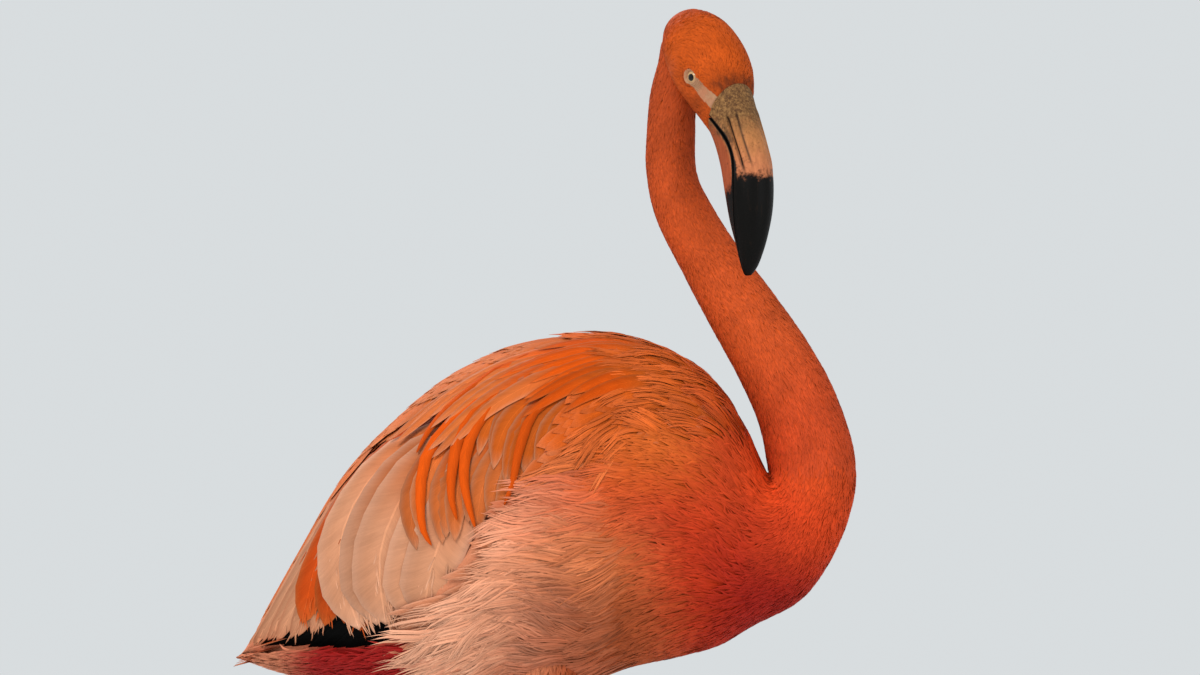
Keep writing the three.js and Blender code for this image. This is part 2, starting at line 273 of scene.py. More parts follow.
TORSO = Form(TORSO_RINGS, before=NAPE_RINGS)
HEAD = Form(HEAD_RINGS, face_relief, (HEAD_BASIS, HEAD_ORIGIN))
BILL = Form(BILL_RINGS, bill_relief, (HEAD_BASIS, HEAD_ORIGIN), -1)


def thigh_form(sign):
    rings = [(x - r, z, x + r, z, r, sign * y) for x, y, z, r in THIGH_RINGS]
    return Form(rings, unwrap=(0.0, 0.5) if sign < 0 else (0.5, 1.0))


# ---- Colours ----


def tone(red, green, blue):
    """A display colour from 0 to 255 as the linear colour that a shader works in."""
    c = np.array([red, green, blue]) / 255
    return np.where(c <= 0.04045, c / 12.92, ((c + 0.055) / 1.055) ** 2.4)


def chosen(name):
    """One of the chosen sizes, in millimetres."""
    return getattr(bpy.context.scene.flamingo_sizes, name) / MM


def hue(name):
    """A plumage colour, as the user has set it."""
    return np.array(getattr(bpy.context.scene.flamingo_colours, name)[:3])


class Waves:
    """Smooth noise from -1 to 1 over space: a sum of sine waves in random directions."""

    def __init__(self, rng, size, count=10):
        self.way = unit(rng.normal(size=(count, 3))) * TAU / (size * rng.uniform(0.6, 1.6, (count, 1)))
        self.phase = rng.uniform(0, TAU, count)

    def __call__(self, p):
        return np.sin(p @ self.way.T + self.phase).sum(-1) / math.sqrt(len(self.phase) / 2) * 0.7


def draws(seed, size):
    """A coat's random draws, and waves of a size in millimetres that come from them."""
    rng = np.random.default_rng(seed)
    return rng, Waves(rng, size)


def layered(p, first, *layers):
    """The colour at each place: a first tone, and each (tone, share) laid over those before it."""
    c = np.broadcast_to(hue(first), p.shape)
    for name, share in layers:
        c = mix(c, hue(name), share)
    return c


def torso_tone(p, t, turn):
    """The plumage's colour on the neck and body, by place."""
    x, z = p[..., 0], p[..., 2]
    back = np.cos(turn)  # 1 along the back, -1 along the throat and belly
    side = ease(120, 40, x + 0.15 * (z - 720))
    pale = ease(50, -50, x) * ease(590, 630, z) * (1 - 0.6 * ease(735, 770, z))
    under = ease(640, 626, z)
    return layered(
        p, "neck_top",
        ("neck_middle", ease(0.06, 0.2, t)),
        ("neck_low", ease(0.26, 0.36, t)),
        ("crease", ease(0.38, 0.44, t)),
        ("breast", ease(0.40, 0.5, t) * ease(0.3, 0.75, 1 - back)),
        # The lower breast is deeper red: partly its own colour, partly painted shade where it curves under.
        ("breast_low", ease(720, 660, z) * ease(100, 160, x) * ease(0.38, 0.44, t)),
        ("shoulder", ease(0.50, 0.57, t) * ease(-0.2, 0.6, back)),
        ("mantle", ease(0.56, 0.64, t) * ease(-0.1, 0.5, back)),
        ("flank", side * ease(0.3, -0.3, back)),
        ("flank_pale", pale * ease(0.6, 0.0, back) * 0.9),
        # Painted shade: the shadowed part of the side plumes low by the breast, darker.
        ("flank_low", ease(700, 650, z) * ease(-30, 20, x) * side * 0.85),
        ("belly", ease(640, 606, z) * ease(90, 40, x) * 0.8),
        # Painted shade: deep crimson under the rear of the body, where the side plumes and the tail shade it.
        ("vent_shade", ease(-45, -85, x) * under),
        ("flank_pale", ease(-150, -185, x) * under * 0.8),
    )


# ---- Meshes from arrays ----


def write_tint(mesh, label, colours):
    """Stores a colour, or three numbers, for each vertex."""
    rgba = np.concatenate([colours, np.ones((len(colours), 1))], 1)
    mesh.color_attributes.new(label, "FLOAT_COLOR", "POINT").data.foreach_set("color", rgba.ravel())


class Pile:
    """Triangles gathered for one joined mesh, with what its material reads."""

    def __init__(self):
        self.points, self.faces, self.tints, self.vane, self.bake, self.soft = [], [], [], [], [], []
        self.count = 0

    def add(self, points, faces, tints, vane, bake, soft=0.0):
        """Adds like solids: points is (n, corners, 3), and faces is the list of one of them.

        soft is a direction that the shading of each point leans to, or 0 for none.
        """
        n, corners = points.shape[:2]
        first = self.count + np.arange(n) * corners
        self.faces.append((np.array(faces)[None] + first[:, None, None]).reshape(-1, 3))
        self.points.append(points.reshape(-1, 3))
        self.soft.append((np.zeros(points.shape) + soft).reshape(-1, 3))
        self.tints.append(tints.reshape(-1, 3))
        self.vane.append(vane.reshape(-1, 2))
        self.bake.append(bake.reshape(-1, 2))
        self.count += n * corners

    def build(self, name):
        points = np.concatenate(self.points) * MM
        faces = np.concatenate(self.faces).astype(np.int32)
        mesh = bpy.data.meshes.new(name)
        mesh.vertices.add(len(points))
        mesh.vertices.foreach_set("co", points.astype(np.float32).ravel())
        mesh.loops.add(faces.size)
        mesh.loops.foreach_set("vertex_index", faces.ravel())
        mesh.polygons.add(len(faces))
        mesh.polygons.foreach_set("loop_start", np.arange(0, faces.size, 3, dtype=np.int32))
        mesh.polygons.foreach_set("use_smooth", np.ones(len(faces), bool))
        write_tint(mesh, "tint", np.concatenate(self.tints))
        for label, values in (("OFBake", self.bake), ("vane", self.vane)):
            corners = np.concatenate(values)[faces.ravel()]
            mesh.uv_layers.new(name=label).data.foreach_set("uv", corners.ravel())
        mesh.update(calc_edges=True)
        mesh.validate()
        own = np.empty(len(points) * 3, np.float32)
        mesh.vertex_normals.foreach_get("vector", own)
        leaning = unit(own.reshape(-1, 3) + np.concatenate(self.soft))
        mesh.normals_split_custom_set_from_vertices(leaning)
        piece = bpy.data.objects.new(name, mesh)
        bpy.context.scene.collection.objects.link(piece)
        return piece


BAKE_PATCH = 0.003  # how wide one tuft is on the OFBake map
MAP_EDGE = 0.02  # left free round that map
SOFTNESS = 2.2  # how far a strand's shading leans to that of the form under it
VANE_SOFTNESS = 0.8  # the same for a broad feather


def bake_patch(form, t, turn, along, across):
    """The place of a tuft's own small patch on an unwrap of the form that it grows on."""
    left, right = form.unwrap
    down = (t - form.start) / (1 - form.start)
    u = MAP_EDGE + (1 - 2 * MAP_EDGE) * (left + (right - left) * np.clip(down, 0, 1))
    v = MAP_EDGE + (1 - 2 * MAP_EDGE) * ((turn / TAU) % 1.0)
    return np.stack([u + (along - 0.5) * BAKE_PATCH, v + (across - 0.5) * BAKE_PATCH], -1)


# ---- Feathers ----


def walk(form, t, turn, heading, length, flow=None, shares=None):
    """Steps over a form from each root. Returns t and turn at every step, as arrays (steps + 1, n)."""
    ts, turns = [t], [turn]
    strides = np.diff(np.linspace(0, 1, len(heading) + 1) if shares is None else shares)
    for angle, share in zip(heading, strides):
        p, normal, along, around = form.axes(ts[-1], turns[-1])
        lie = along if flow is None else flow(p)
        lie = unit(lie - normal * dot(lie, normal)[:, None])
        across = np.cross(lie, normal)
        stride = (length * share)[:, None] * (lie * np.cos(angle)[:, None] + across * np.sin(angle)[:, None])
        aa, ab, bb = dot(along, along), dot(along, around), dot(around, around)
        sa, sb = dot(stride, along), dot(stride, around)
        area = np.maximum(aa * bb - ab * ab, 1e-3)
        dt = np.clip((sa * bb - sb * ab) / area, -0.05, 0.05)
        dturn = np.clip((sb * aa - sa * ab) / area, -0.5, 0.5)
        ts.append(np.clip(ts[-1] + dt, form.start + 0.002, 0.998))
        turns.append(turns[-1] + dturn)
    return np.stack(ts), np.stack(turns)


def shafts(form, t, turn, heading, length, height, flow=None, shares=None):
    """Lines that lie over a form: their places and normals, (steps + 1, n, 3)."""
    ts, turns = walk(form, t, turn, heading, length, flow, shares)
    laid = [form.axes(ts[k], turns[k], height[k])[:2] for k in range(len(ts))]
    return np.stack([place for place, _ in laid]), np.stack([normal for _, normal in laid])


STRAND_ROOT = 0.22  # where on its swell a strand begins
STRAND_RIDGE = 0.28  # a strand's height, as a share of half its width


def strands(pile, form, t, turn, heading, length, width, height, tint, roll, flow=None):
    """Slim closed strands, each a ridge with three sides that tapers to its tip.

    heading is (steps, n) in radians from the lie, positive towards greater turn. height is
    (steps + 1, n) over the form, and tint is (steps + 1, n, 3).
    """
    steps, n = heading.shape
    places, level = shafts(form, t, turn, heading, length, height, flow)
    side = unit(np.cross(unit(np.gradient(places, axis=0)), level))
    lean = roll[:, None]
    side, up = side * np.cos(lean) + level * np.sin(lean), level * np.cos(lean) - side * np.sin(lean)
    share = np.linspace(0, 1, steps + 1)
    taper = np.sin(PI * (STRAND_ROOT + (1 - STRAND_ROOT) * share)) ** 0.6
    half = (width * 0.5 * taper[:, None])[:-1, :, None]
    low, reach, ridge = places[:-1], side[:-1] * half, up[:-1] * half * STRAND_RIDGE
    rings = np.swapaxes(np.stack([low - reach, low + ridge, low + reach], 2), 0, 1)
    points = np.concatenate([rings.reshape(n, steps * 3, 3), places[-1][:, None, :]], 1)
    faces = [(0, 2, 1)]
    for first in range(0, steps * 3 - 3, 3):
        for a in range(3):
            b = (a + 1) % 3
            faces += [(first + a, first + b, first + 3 + b), (first + a, first + 3 + b, first + 3 + a)]
    tip = steps * 3
    faces += [(tip - 3 + a, tip - 3 + (a + 1) % 3, tip) for a in range(3)]
    which = np.append(np.repeat(np.arange(steps), 3), steps)
    along = np.broadcast_to(share[which], (n, tip + 1))
    across = np.broadcast_to(np.append(np.tile([0.0, 0.5, 1.0], steps), 0.5), (n, tip + 1))
    bake = bake_patch(form, t[:, None], turn[:, None], along, across)
    soft = np.swapaxes(level, 0, 1)[:, which] * SOFTNESS
    pile.add(points, faces, np.swapaxes(tint, 0, 1)[:, which], np.stack([across, along], -1), bake, soft)


def vanes(pile, rng, places, normals, half, tint, bake, columns, camber, thickness, blunt, fray=0.0):
    """Broad closed feathers. places and normals are (steps, n, 3) down each shaft, and half is (steps, n).

    columns is the strips across one, camber how far its edges droop, blunt how far its barbs
    sweep back, and fray how uneven its end is.
    """
    steps, n = half.shape
    ahead = unit(np.gradient(places, axis=0))
    side = unit(np.cross(ahead, normals))
    row = columns + 1
    x = np.linspace(-1, 1, row)
    share = pace(steps)
    spacing = np.linalg.norm(places[-1] - places[-2], axis=-1)
    uneven = np.abs(rng.normal(0, fray, (n, row))) if fray else np.zeros((n, row))
    top, low = [], []
    for k in range(steps):
        end = ease(0.72, 1.0, share[k])
        round_off = np.sqrt(half[k] * half.max(0)) * 0.9
        for j, at in enumerate(x):
            lag = -abs(at) ** 2 * half[k] * blunt * (1 - end) - end * blunt * abs(at) ** 2.2 * round_off
            lag = lag - end * uneven[:, j] * spacing * 0.8 * (k < steps - 1)
            p = places[k] + side[k] * (half[k] * at)[:, None] + ahead[k] * lag[:, None]
            p = p - normals[k] * (camber * half[k] * at * at)[:, None]
            lift = thickness * (1 - 0.8 * at * at) * (0.35 + 0.65 * (1 - share[k]))
            top.append(p + normals[k] * lift)
            low.append(p - normals[k] * lift)
    points = np.stack(top + low, 1)
    last = steps * row
    faces = []
    for k in range(0, last - row, row):
        for j in range(columns):
            a, b, c, d = k + j, k + j + 1, k + row + j + 1, k + row + j
            faces += [(a, b, c), (a, c, d), (last + a, last + c, last + b), (last + a, last + d, last + c)]
    rim = []
    for k in range(0, last - row, row):
        rim += [(k, k + row), (k + row + columns, k + columns)]
    for a in range(columns):
        rim += [(a + 1, a), (last - row + a, last - row + a + 1)]
    for a, b in rim:
        faces += [(a, b, last + b), (a, last + b, last + a)]
    shape = (n, last * 2)
    along = np.broadcast_to(np.tile(np.repeat(share, row), 2), shape)
    across = np.broadcast_to(np.tile((x + 1) / 2, steps * 2), shape)
    soft = np.repeat(np.swapaxes(normals, 0, 1), row, 1) * VANE_SOFTNESS
    soft = np.concatenate([soft, -soft], 1)
    vane = np.stack([across, along], -1)
    pile.add(points, faces, tint(along, across * 2 - 1), vane, bake(along, across), soft)


EVEN = 1.2207440846057596  # the root of x**4 = x + 1, whose powers spread triples evenly


def sequence(count, seed):
    """Evenly spread triples from 0 to 1, always the same for a seed."""
    steps = np.array([1 / EVEN, 1 / EVEN**2, 1 / EVEN**3])
    return (seed * 0.37 + np.arange(1, count + 1)[:, None] * steps) % 1.0


JITTER = 2.4  # how far roots stray from an even spread, in the spacing of their draws
MOST_DRAWS = 60  # rounds of drawing, after which a coat stays sparser


def scatter(form, count, seed, span, keep):
    """Roots spread evenly over the part of a form where keep(p, t, turn) is over 0."""
    (t0, t1), (turn0, turn1) = span
    rng = np.random.default_rng(int(seed))
    found_t, found_turn, have, start, peak = [], [], 0, 0, 0
    while have < count and start < MOST_DRAWS:
        draw = sequence(count * 4, seed + start * 1.618)
        draw = (draw + rng.normal(0, JITTER, draw.shape) / math.sqrt(count * 4)) % 1.0
        t, turn = t0 + (t1 - t0) * draw[:, 0], turn0 + (turn1 - turn0) * draw[:, 1]
        p, _, along, around = form.axes(t, turn)
        weight = np.linalg.norm(np.cross(along, around), axis=-1) * np.clip(keep(p, t, turn), 0, None)
        if not peak and (weight > 0).any():
            peak = np.percentile(weight[weight > 0], 98)
        taken = draw[:, 2] * peak < weight
        found_t.append(t[taken])
        found_turn.append(turn[taken])
        have += int(taken.sum())
        start += 1
    return np.concatenate(found_t)[:count], np.concatenate(found_turn)[:count]


def inside_head(p):
    """True for places inside the skull."""
    q = to_head(p)
    line = np.array(HEAD_RINGS, float)[::-1]
    x = (line[:, 0] + line[:, 2]) / 2
    top, low, half = (np.interp(q[..., 0], x, line[:, k]) for k in (1, 3, 4))
    high = np.maximum((top - low) / 2, 0.1)
    value = ((q[..., 2] - (top + low) / 2) / high) ** 2 + (q[..., 1] / np.maximum(half, 0.1)) ** 2
    return (value < 0.9) & (q[..., 0] > -43) & (q[..., 0] < 44)


def inside_neck(p):
    """True for places inside the top of the neck."""
    line = np.array([*NAPE_RINGS, *TORSO_RINGS[:5]], float)[::-1]
    x, z = (line[:, 0] + line[:, 2]) / 2, (line[:, 1] + line[:, 3]) / 2
    middle, side, half = (np.interp(p[..., 2], z, row) for row in (x, line[:, 5], line[:, 4]))
    value = ((p[..., 0] - SHIFT[0] - middle) / half) ** 2 + ((p[..., 1] - side) / half) ** 2
    return (value < 0.8) & (p[..., 2] < 1060)


def ramped(root, tip, steps, bright, power=1.0):
    """Tints for strands from root to tip colours, times each strand's own brightness."""
    share = np.linspace(0, 1, steps + 1) ** power
    tint = root * (1 - share)[:, None, None] + tip * share[:, None, None]
    return np.clip(tint * bright[None, :, None], 0.002, 0.97)


def hair(pile, form, t, turn, rng, waves, length, width, depth, tint, tip, steps=2, droop=0.0, wander=0.10,
         bend=0.12, flow=None, lift=(1.0, 0.0)):
    """Small feathers over a form: depth is how deep the coat is, and lift its root and tip within that."""
    n = len(t)
    p = form.point(t, turn)
    base = rng.normal(0, wander, n) + droop * np.sign(np.sin(turn)) + waves(p) * wander * 1.8
    heading = base + np.linspace(0, 1, steps)[:, None] * rng.normal(0, bend, n)
    share = np.linspace(0, 1, steps + 1)[:, None]
    root_high = -depth * lift[0] * rng.uniform(0.7, 1.1, n)
    tip_high = -depth * lift[1] + depth * rng.uniform(-0.25, 0.12, n)
    height = root_high + (tip_high - root_high) * share**0.85
    bright = rng.normal(1, 0.07, n) * (1 + 0.05 * waves(p * 1.7 + 31))
    # Each strand's root is 0.92 as bright as its tint: painted shade where it goes under the strands around
    # it.
    tints = ramped(tint * 0.92, tip, steps, np.clip(bright, 0.6, 1.4))
    strands(pile, form, t, turn, heading, length, width, height, tints, rng.normal(0, 0.2, n), flow)


def locks(pile, t, turn, rng, waves, count, length, width, breadth, height, tint, tip, droop, wave, steps,
          split):
    """Tufts of count strands on the body, each with one root, curve and colour.

    width is a strand's and breadth the tuft's. height gives the roots' and the range of the
    tips', wave how far a tuft swings and split how far its strands spread.
    """
    n = len(t)

    def each(values):
        return np.repeat(values, count, 0)

    p, _, _, around = TORSO.axes(t, turn)
    place = rng.uniform(-1, 1, (n, count))
    slot = place * (breadth / np.maximum(np.linalg.norm(around, axis=-1), 5))[:, None] * 0.5
    root_t = each(t) + rng.uniform(-1, 1, n * count) * 0.002
    root_turn = (turn[:, None] + slot).ravel()
    phase = each(rng.uniform(0, TAU, n))
    swing = each(wave * rng.uniform(0.5, 1.3, n))
    shorter = (1 - 0.28 * place**2 * rng.uniform(0.4, 1.4, (n, count))).ravel()
    long = each(length * rng.uniform(0.85, 1.12, n)) * shorter * rng.uniform(0.82, 1.05, n * count)
    share = np.linspace(0, 1, steps)[:, None]
    spread = (-place * split).ravel() * (1 - 2.2 * share) + rng.normal(0, 0.03, n * count)
    sway = (droop + waves(p) * 0.40) * np.sign(np.sin(turn))
    heading = each(sway) + swing * np.sin(phase + share * 3.6) + spread
    rise = np.linspace(0, 1, steps + 1)[:, None]
    arch = (1 - place**2).ravel() * each(rng.uniform(0.6, 1.4, n)) * 0.7
    low, high = height
    high = each(rng.uniform(high[0], high[1], n)) + rng.normal(0, 0.35, n * count)
    level = low + (high - low) * rise**0.5 + arch * np.sin(rise * PI)
    bright = each(rng.normal(1, 0.11, n)) * rng.normal(1, 0.07, n * count)
    # Strands are darker towards a tuft's sides, where they lie lower than its arched middle: painted shade.
    bright = np.clip(bright * (0.86 + 0.22 * (1 - place**2).ravel()), 0.55, 1.4)
    tints = ramped(each(tint), each(tip), steps, bright, 0.9)
    wide = width * rng.uniform(0.7, 1.35, n * count)
    roll = rng.normal(0, 0.28, n * count)
    strands(pile, TORSO, root_t, root_turn, heading, long, wide, level, tints, roll)


def outline(steps, tip, root):
    """A feather's half width from root to tip, as a share of the widest."""
    s = pace(steps)
    end = np.clip(1 - np.maximum(s - (1 - tip), 0) / tip, 0, 1) ** 0.55
    return np.clip(root + (1 - root) * ease(0, 0.35, s), 0, 1) * end


def rolled(places, normals, roll):
    """Normals turned about each shaft, so that one edge of the feather lifts."""
    ahead = unit(np.gradient(places, axis=0))
    side = np.cross(ahead, normals)
    roll = roll[:, None]
    return unit(normals * np.cos(roll) + side * np.sin(roll))


def leaves(pile, t, turn, rng, length, half, height, tint, edge, heading, steps=6, columns=6, bend=0.05,
           roll=0.03, tip=0.45):
    """Small contour feathers on the body, which overlap like shingles."""
    n = len(t)
    turns = heading + rng.normal(0, bend, n)
    angles = turns + np.linspace(0, 1, steps)[:, None] * rng.normal(0, bend, n)
    low, high = height
    rise = pace(steps + 1)[:, None]
    level = low + (high - low) * rise + rng.normal(0, 0.15, n)
    places, normals = shafts(TORSO, t, turn, angles, length, level, None, pace(steps + 1))
    normals = rolled(places, normals, rng.normal(0, roll, n))
    shape = outline(steps + 1, tip, 0.35)[:, None] * half
    bright = np.clip(rng.normal(1, 0.08, n), 0.7, 1.3)[:, None, None]

    def colour(along, side):
        rim = np.clip(0.55 * ease(0.55, 1, np.abs(side)) + 0.6 * ease(0.7, 1, along), 0, 1)
        # Each feather is darker towards its root, where the feathers before it overlap it: painted shade.
        root_shade = 0.72 + 0.28 * ease(0, 0.5, along)
        return np.clip(mix(tint[:, None], edge[:, None], rim) * bright * root_shade[..., None], 0.002, 0.97)

    def place(along, side):
        return bake_patch(TORSO, t[:, None], turn[:, None], along, side)

    vanes(pile, rng, places, normals, shape, colour, place, columns, camber=0.14, thickness=0.25, blunt=0.45,
          fray=0.12)


# ---- Wing feathers, laid out in the side view ----
# Each row runs from its first feather to its last, and each feather is a few places
# (x, z) down its shaft from root to tip.

WING_ROWS = {
    "blades": dict(
        first=[(-93, 793), (-138, 756), (-174, 698), (-218, 618)],
        last=[(-78, 789), (-116, 745), (-142, 690), (-160, 634)],
        count=8, half=11, high=(-10.9, -10.1), tip=0.3,
        tones=("wing_deep", "tertial", "flank_pale"), dive=1.0, barbs=10,
    ),
    "broad": dict(
        first=[(-82, 800), (-126, 762), (-158, 704), (-172, 640)],
        last=[(-71, 796), (-101, 753), (-125, 695), (-130, 638)],
        count=4, half=14, high=(-8.9, -8.4), tip=0.16,
        tones=("wing_deep", "wing_deep", "tertial_base"), dive=1.0, barbs=14,
    ),
    "tertials": dict(
        first=[(-72, 790), (-122, 758), (-148, 703), (-136, 638)],
        last=[(-15, 785), (-52, 745), (-78, 692), (-88, 646)],
        count=5, half=20, high=(-6.6, -5.2), tip=0.13,
        tones=("tertial_base", "tertial", "flank_tip"), dive=1.5, roll=0.045, barbs=34,
    ),
    "coverts": dict(
        first=[(-30, 806), (-74, 775), (-96, 735), (-92, 690)],
        last=[(56, 806), (24, 784), (2, 760), (-14, 724)],
        count=12, half=9.5, high=(-4.4, -3.4), tip=0.26,
        tones=("scapular", "tertial_base", "tertial"), stagger=0.12,
    ),
    "upper": dict(
        first=[(30, 836), (-18, 812), (-42, 784), (-50, 744)],
        last=[(92, 808), (64, 794), (46, 776), (34, 748)],
        count=14, half=8, high=(-3.0, -2.0), tip=0.3,
        tones=("scapular", "mantle", "tertial"), stagger=0.15, dive=3.0,
    ),
    "edge": dict(
        first=[(58, 843), (-14, 837), (-72, 810), (-119, 771)],
        last=[(80, 838), (14, 824), (-34, 800), (-72, 762)],
        count=11, half=8, high=(-1.8, -0.8), tip=0.55,
        tones=("scapular", "tertial_base", "flank_pale"), stagger=0.16, dive=3.5,
    ),
    "crest": dict(
        first=[(94, 834), (50, 845), (2, 839), (-50, 819)],
        last=[(92, 816), (62, 818), (28, 808), (-6, 784)],
        count=12, half=6.5, high=(-0.6, 0.2), tip=0.5,
        tones=("mantle", "scapular", "tertial_base"), stagger=0.2, dive=5.0,
    ),
}
PLUMES = [
    [(8.3, 844.8), (-31.3, 830.4), (-58.7, 810.2), (-74.5, 795.8), (-85.3, 781.4), (-92.5, 767)],
    [(4.7, 837.6), (-31.3, 816), (-58.7, 798), (-76.7, 780), (-87.5, 759.8), (-89.6, 734.6), (-87.5, 713),
     (-81, 700.8)],
    [(-22.7, 816), (-49.3, 799.4), (-62.3, 780), (-67.3, 752.6), (-67.3, 734.6), (-63, 718.8)],
    [(-31.3, 808.8), (-47.9, 788.6), (-56.5, 770.6), (-58.7, 749), (-55, 729.6), (-50, 713)],
    [(8.3, 806.6), (-9.7, 794.4), (-19, 770.6), (-24, 745.4), (-29.9, 729.6)],
]
PLUME_HALVES = (4.4, 5.2, 4.4, 4.2, 3.6)  # half the width of each
QUILL_ROW = dict(
    first=[(-110, 690), (-150, 655), (-185, 632), (-212, 617)],
    last=[(-80, 655), (-92, 640), (-104, 628), (-118, 614)],
    count=11, half=8, high=(-11.8, -11.2), tip=0.4,
    tones=("black", "black", "black"), dive=0.3,
)
FLANK_EDGE = [  # the rear edge of the side plumes, from below to above
    (-60, 600), (-88, 608), (-108, 618), (-108, 634), (-96, 658), (-77, 673), (-59, 694),
    (-41, 717), (-30, 728), (-8, 738), (8, 747), (33, 760), (80, 774),
]


def grid(first, second):
    """Every pair from two rows of values, as two rows."""
    return (pair.ravel() for pair in np.meshgrid(first, second, indexing="ij"))


def side_grid():
    """t, turn, and the place seen from the side, all over one side of the body."""
    t, turn = grid(np.linspace(0.46, 0.996, 220), np.linspace(0.02, PI - 0.02, 130))
    return t, turn, TORSO.point(t, turn)[:, [0, 2]]


SIDE_GRID = side_grid()


def on_side(x, z, sign):
    """t and turn of the places on one side of the body that show at x and z from the side."""
    grid_t, grid_turn, seen = SIDE_GRID
    want = np.stack([x + SHIFT[0], z], -1)
    best = np.array([((seen - place) ** 2).sum(-1).argmin() for place in want])
    t, turn = grid_t[best], grid_turn[best] * sign
    for _ in range(4):
        p, _, along, around = TORSO.axes(t, turn)
        miss = want - p[:, [0, 2]]
        a, b, c, d = along[:, 0], around[:, 0], along[:, 2], around[:, 2]
        area = a * d - b * c
        area = np.where(np.abs(area) < 2e3, np.inf, area)
        dt = np.clip((d * miss[:, 0] - b * miss[:, 1]) / area, -0.01, 0.01)
        dturn = np.clip((a * miss[:, 1] - c * miss[:, 0]) / area, -0.05, 0.05)
        t, turn = np.clip(t + dt, 0.4, 0.999), turn + dturn
    return t, turn


def side_shafts(curves, sign, heights, steps):
    """Shafts over one side of the body from curves (n, steps + 1, 2) of x and z."""
    n = len(curves)
    t, turn = on_side(curves[..., 0].ravel(), curves[..., 1].ravel(), sign)
    high = np.asarray(heights).ravel()
    p, normal, _, _ = TORSO.axes(t, turn, high)
    on, _, _, _ = TORSO.axes(t, turn, 0.0)
    miss = curves.reshape(-1, 2) - (on[:, [0, 2]] - [SHIFT[0], 0])
    far = np.linalg.norm(miss, axis=-1)
    miss = miss * np.clip((far - 0.5) / np.maximum(far, 1e-6), 0, 1)[:, None]
    p = p + np.stack([miss[:, 0], np.zeros(len(p)), miss[:, 1]], -1)
    shape = (n, steps + 1, 3)
    return np.swapaxes(p.reshape(shape), 0, 1), np.swapaxes(normal.reshape(shape), 0, 1)


class Cells:
    """Places for large feathers side by side on a map, so that each keeps its own pattern."""

    def __init__(self, across, down):
        self.across, self.down, self.used = across, down, 0

    def take(self, n):
        which = self.used + np.arange(n)
        self.used += n
        left, low = (which % self.across) / self.across, (which // self.across) / self.down

        def place(along, side):
            u = left[:, None] + (0.06 + 0.88 * side) / self.across
            v = low[:, None] + (0.04 + 0.92 * along) / self.down
            return np.stack([u, v], -1)

        return place


FADE = 0.45  # how far down a broad feather its root's colour reaches


def feather_colour(rng, n, base, middle, edge, low_side=-1):
    """A tint for broad feathers: one colour near the root, one down the web, and one at its edges."""
    bright = np.clip(rng.normal(1, 0.09, n), 0.78, 1.2)[:, None, None]
    turn_at = rng.uniform(FADE - 0.12, FADE + 0.12, n)[:, None]

    def colour(along, side):
        web = mix(base, middle, ease(turn_at - 0.25, turn_at + 0.2, along))
        rim = np.clip(ease(0.6, 1.0, np.abs(side)) * 0.6 + ease(0.88, 1.0, along) * 0.6, 0, 1)
        # The edge that lies under the next feather is darker: painted shade.
        shade = 0.72 + 0.28 * ease(-1.0, 0.1, -side * low_side)
        return np.clip(mix(web, edge, rim) * bright * shade[..., None], 0.002, 0.97)

    return colour


def wing_row(pile, cells, row, sign, rng):
    """One row of wing feathers. Returns the curves and heights of its shafts, and its half widths."""
    n, steps = row["count"], 11
    share = np.clip(np.arange(n) / (n - 1) + rng.normal(0, 0.12 / n, n), 0, 1)
    stagger = row.get("stagger", 0)
    start = stagger * rng.uniform(0, 1, n)
    end = 1 - stagger * rng.uniform(0, 1.4, n)
    at = start[:, None] + (end - start)[:, None] * pace(steps + 1)
    first, last = (spline(row[key], at) for key in ("first", "last"))
    curves = first * (1 - share)[:, None, None] + last * share[:, None, None]
    run = pace(steps + 1)[None, :, None]
    curves = curves + rng.normal(0, 1.6, (n, 1, 2)) * run
    curves = curves + rng.normal(0, 0.8, (n, 1, 2)) * np.sin(run * PI)
    low, high = row["high"]
    level = low + (high - low) * share
    dive = row.get("dive", 2.0) * (1 - ease(0.0, 0.3, run[..., 0]))
    heights = level[:, None] - dive + 0.5 * ease(0.2, 1.0, run[..., 0]) + rng.normal(0, 0.1, (n, 1))
    places, normals = side_shafts(curves, sign, heights, steps)
    normals = rolled(places, normals, row.get("roll", 0.08) * sign + rng.normal(0, 0.015, n))
    half = outline(steps + 1, row["tip"], 0.45)[:, None] * row["half"] * rng.uniform(0.92, 1.08, n)
    colour = feather_colour(rng, n, *[hue(name) for name in row["tones"]], low_side=-sign)
    vanes(pile, rng, places, normals, half, colour, cells.take(n), columns=8, camber=0.07, thickness=0.22,
          blunt=0.35, fray=0.22)
    return curves, heights, half


def loose_barbs(pile, laid, row, sign, rng):
    """Fine barbs that come loose at the ends of a row's soft feathers."""
    curves, heights, half = laid
    each, count, steps = len(curves), row["barbs"], 3
    n = each * count
    run = pace(curves.shape[1])
    tangents = unit(np.gradient(curves, axis=1))
    at, side = rng.uniform(0.66, 0.97, (each, count)), rng.uniform(-0.9, 0.9, (each, count)).ravel()

    def read(table):
        return np.stack([np.interp(at[k], run, table[k]) for k in range(each)]).ravel()

    x, z, ahead_x, ahead_z = (read(table[..., axis]) for table in (curves, tangents) for axis in (0, 1))
    level, reach = read(heights), read(half.T)
    out = side * reach * 0.9
    t, turn = on_side(x - ahead_z * out, z + ahead_x * out, sign)
    splay = side * 0.22 + rng.normal(0, 0.08, n)
    way = np.stack([ahead_x - ahead_z * splay, np.zeros(n), ahead_z + ahead_x * splay], -1)
    length = rng.uniform(9, 17, n) * (1 - 0.35 * side**2)
    rise = np.linspace(0, 1, steps + 1)[:, None]
    high = level + 0.25 - 0.07 * reach * side**2 + rise * 0.25 - 0.5 * rise**2
    _, middle, edge = (hue(name) for name in row["tones"])
    root = np.broadcast_to(middle, (n, 3))
    tints = ramped(root, mix(root, edge, np.full(n, 0.8)), steps, rng.uniform(0.85, 1.12, n))
    wide = rng.uniform(0.8, 1.3, n)
    heading = rng.normal(0, 0.08, (steps, n))
    strands(pile, TORSO, t, turn, heading, length, wide, high, tints, rng.normal(0, 0.15, n), lambda p: way)


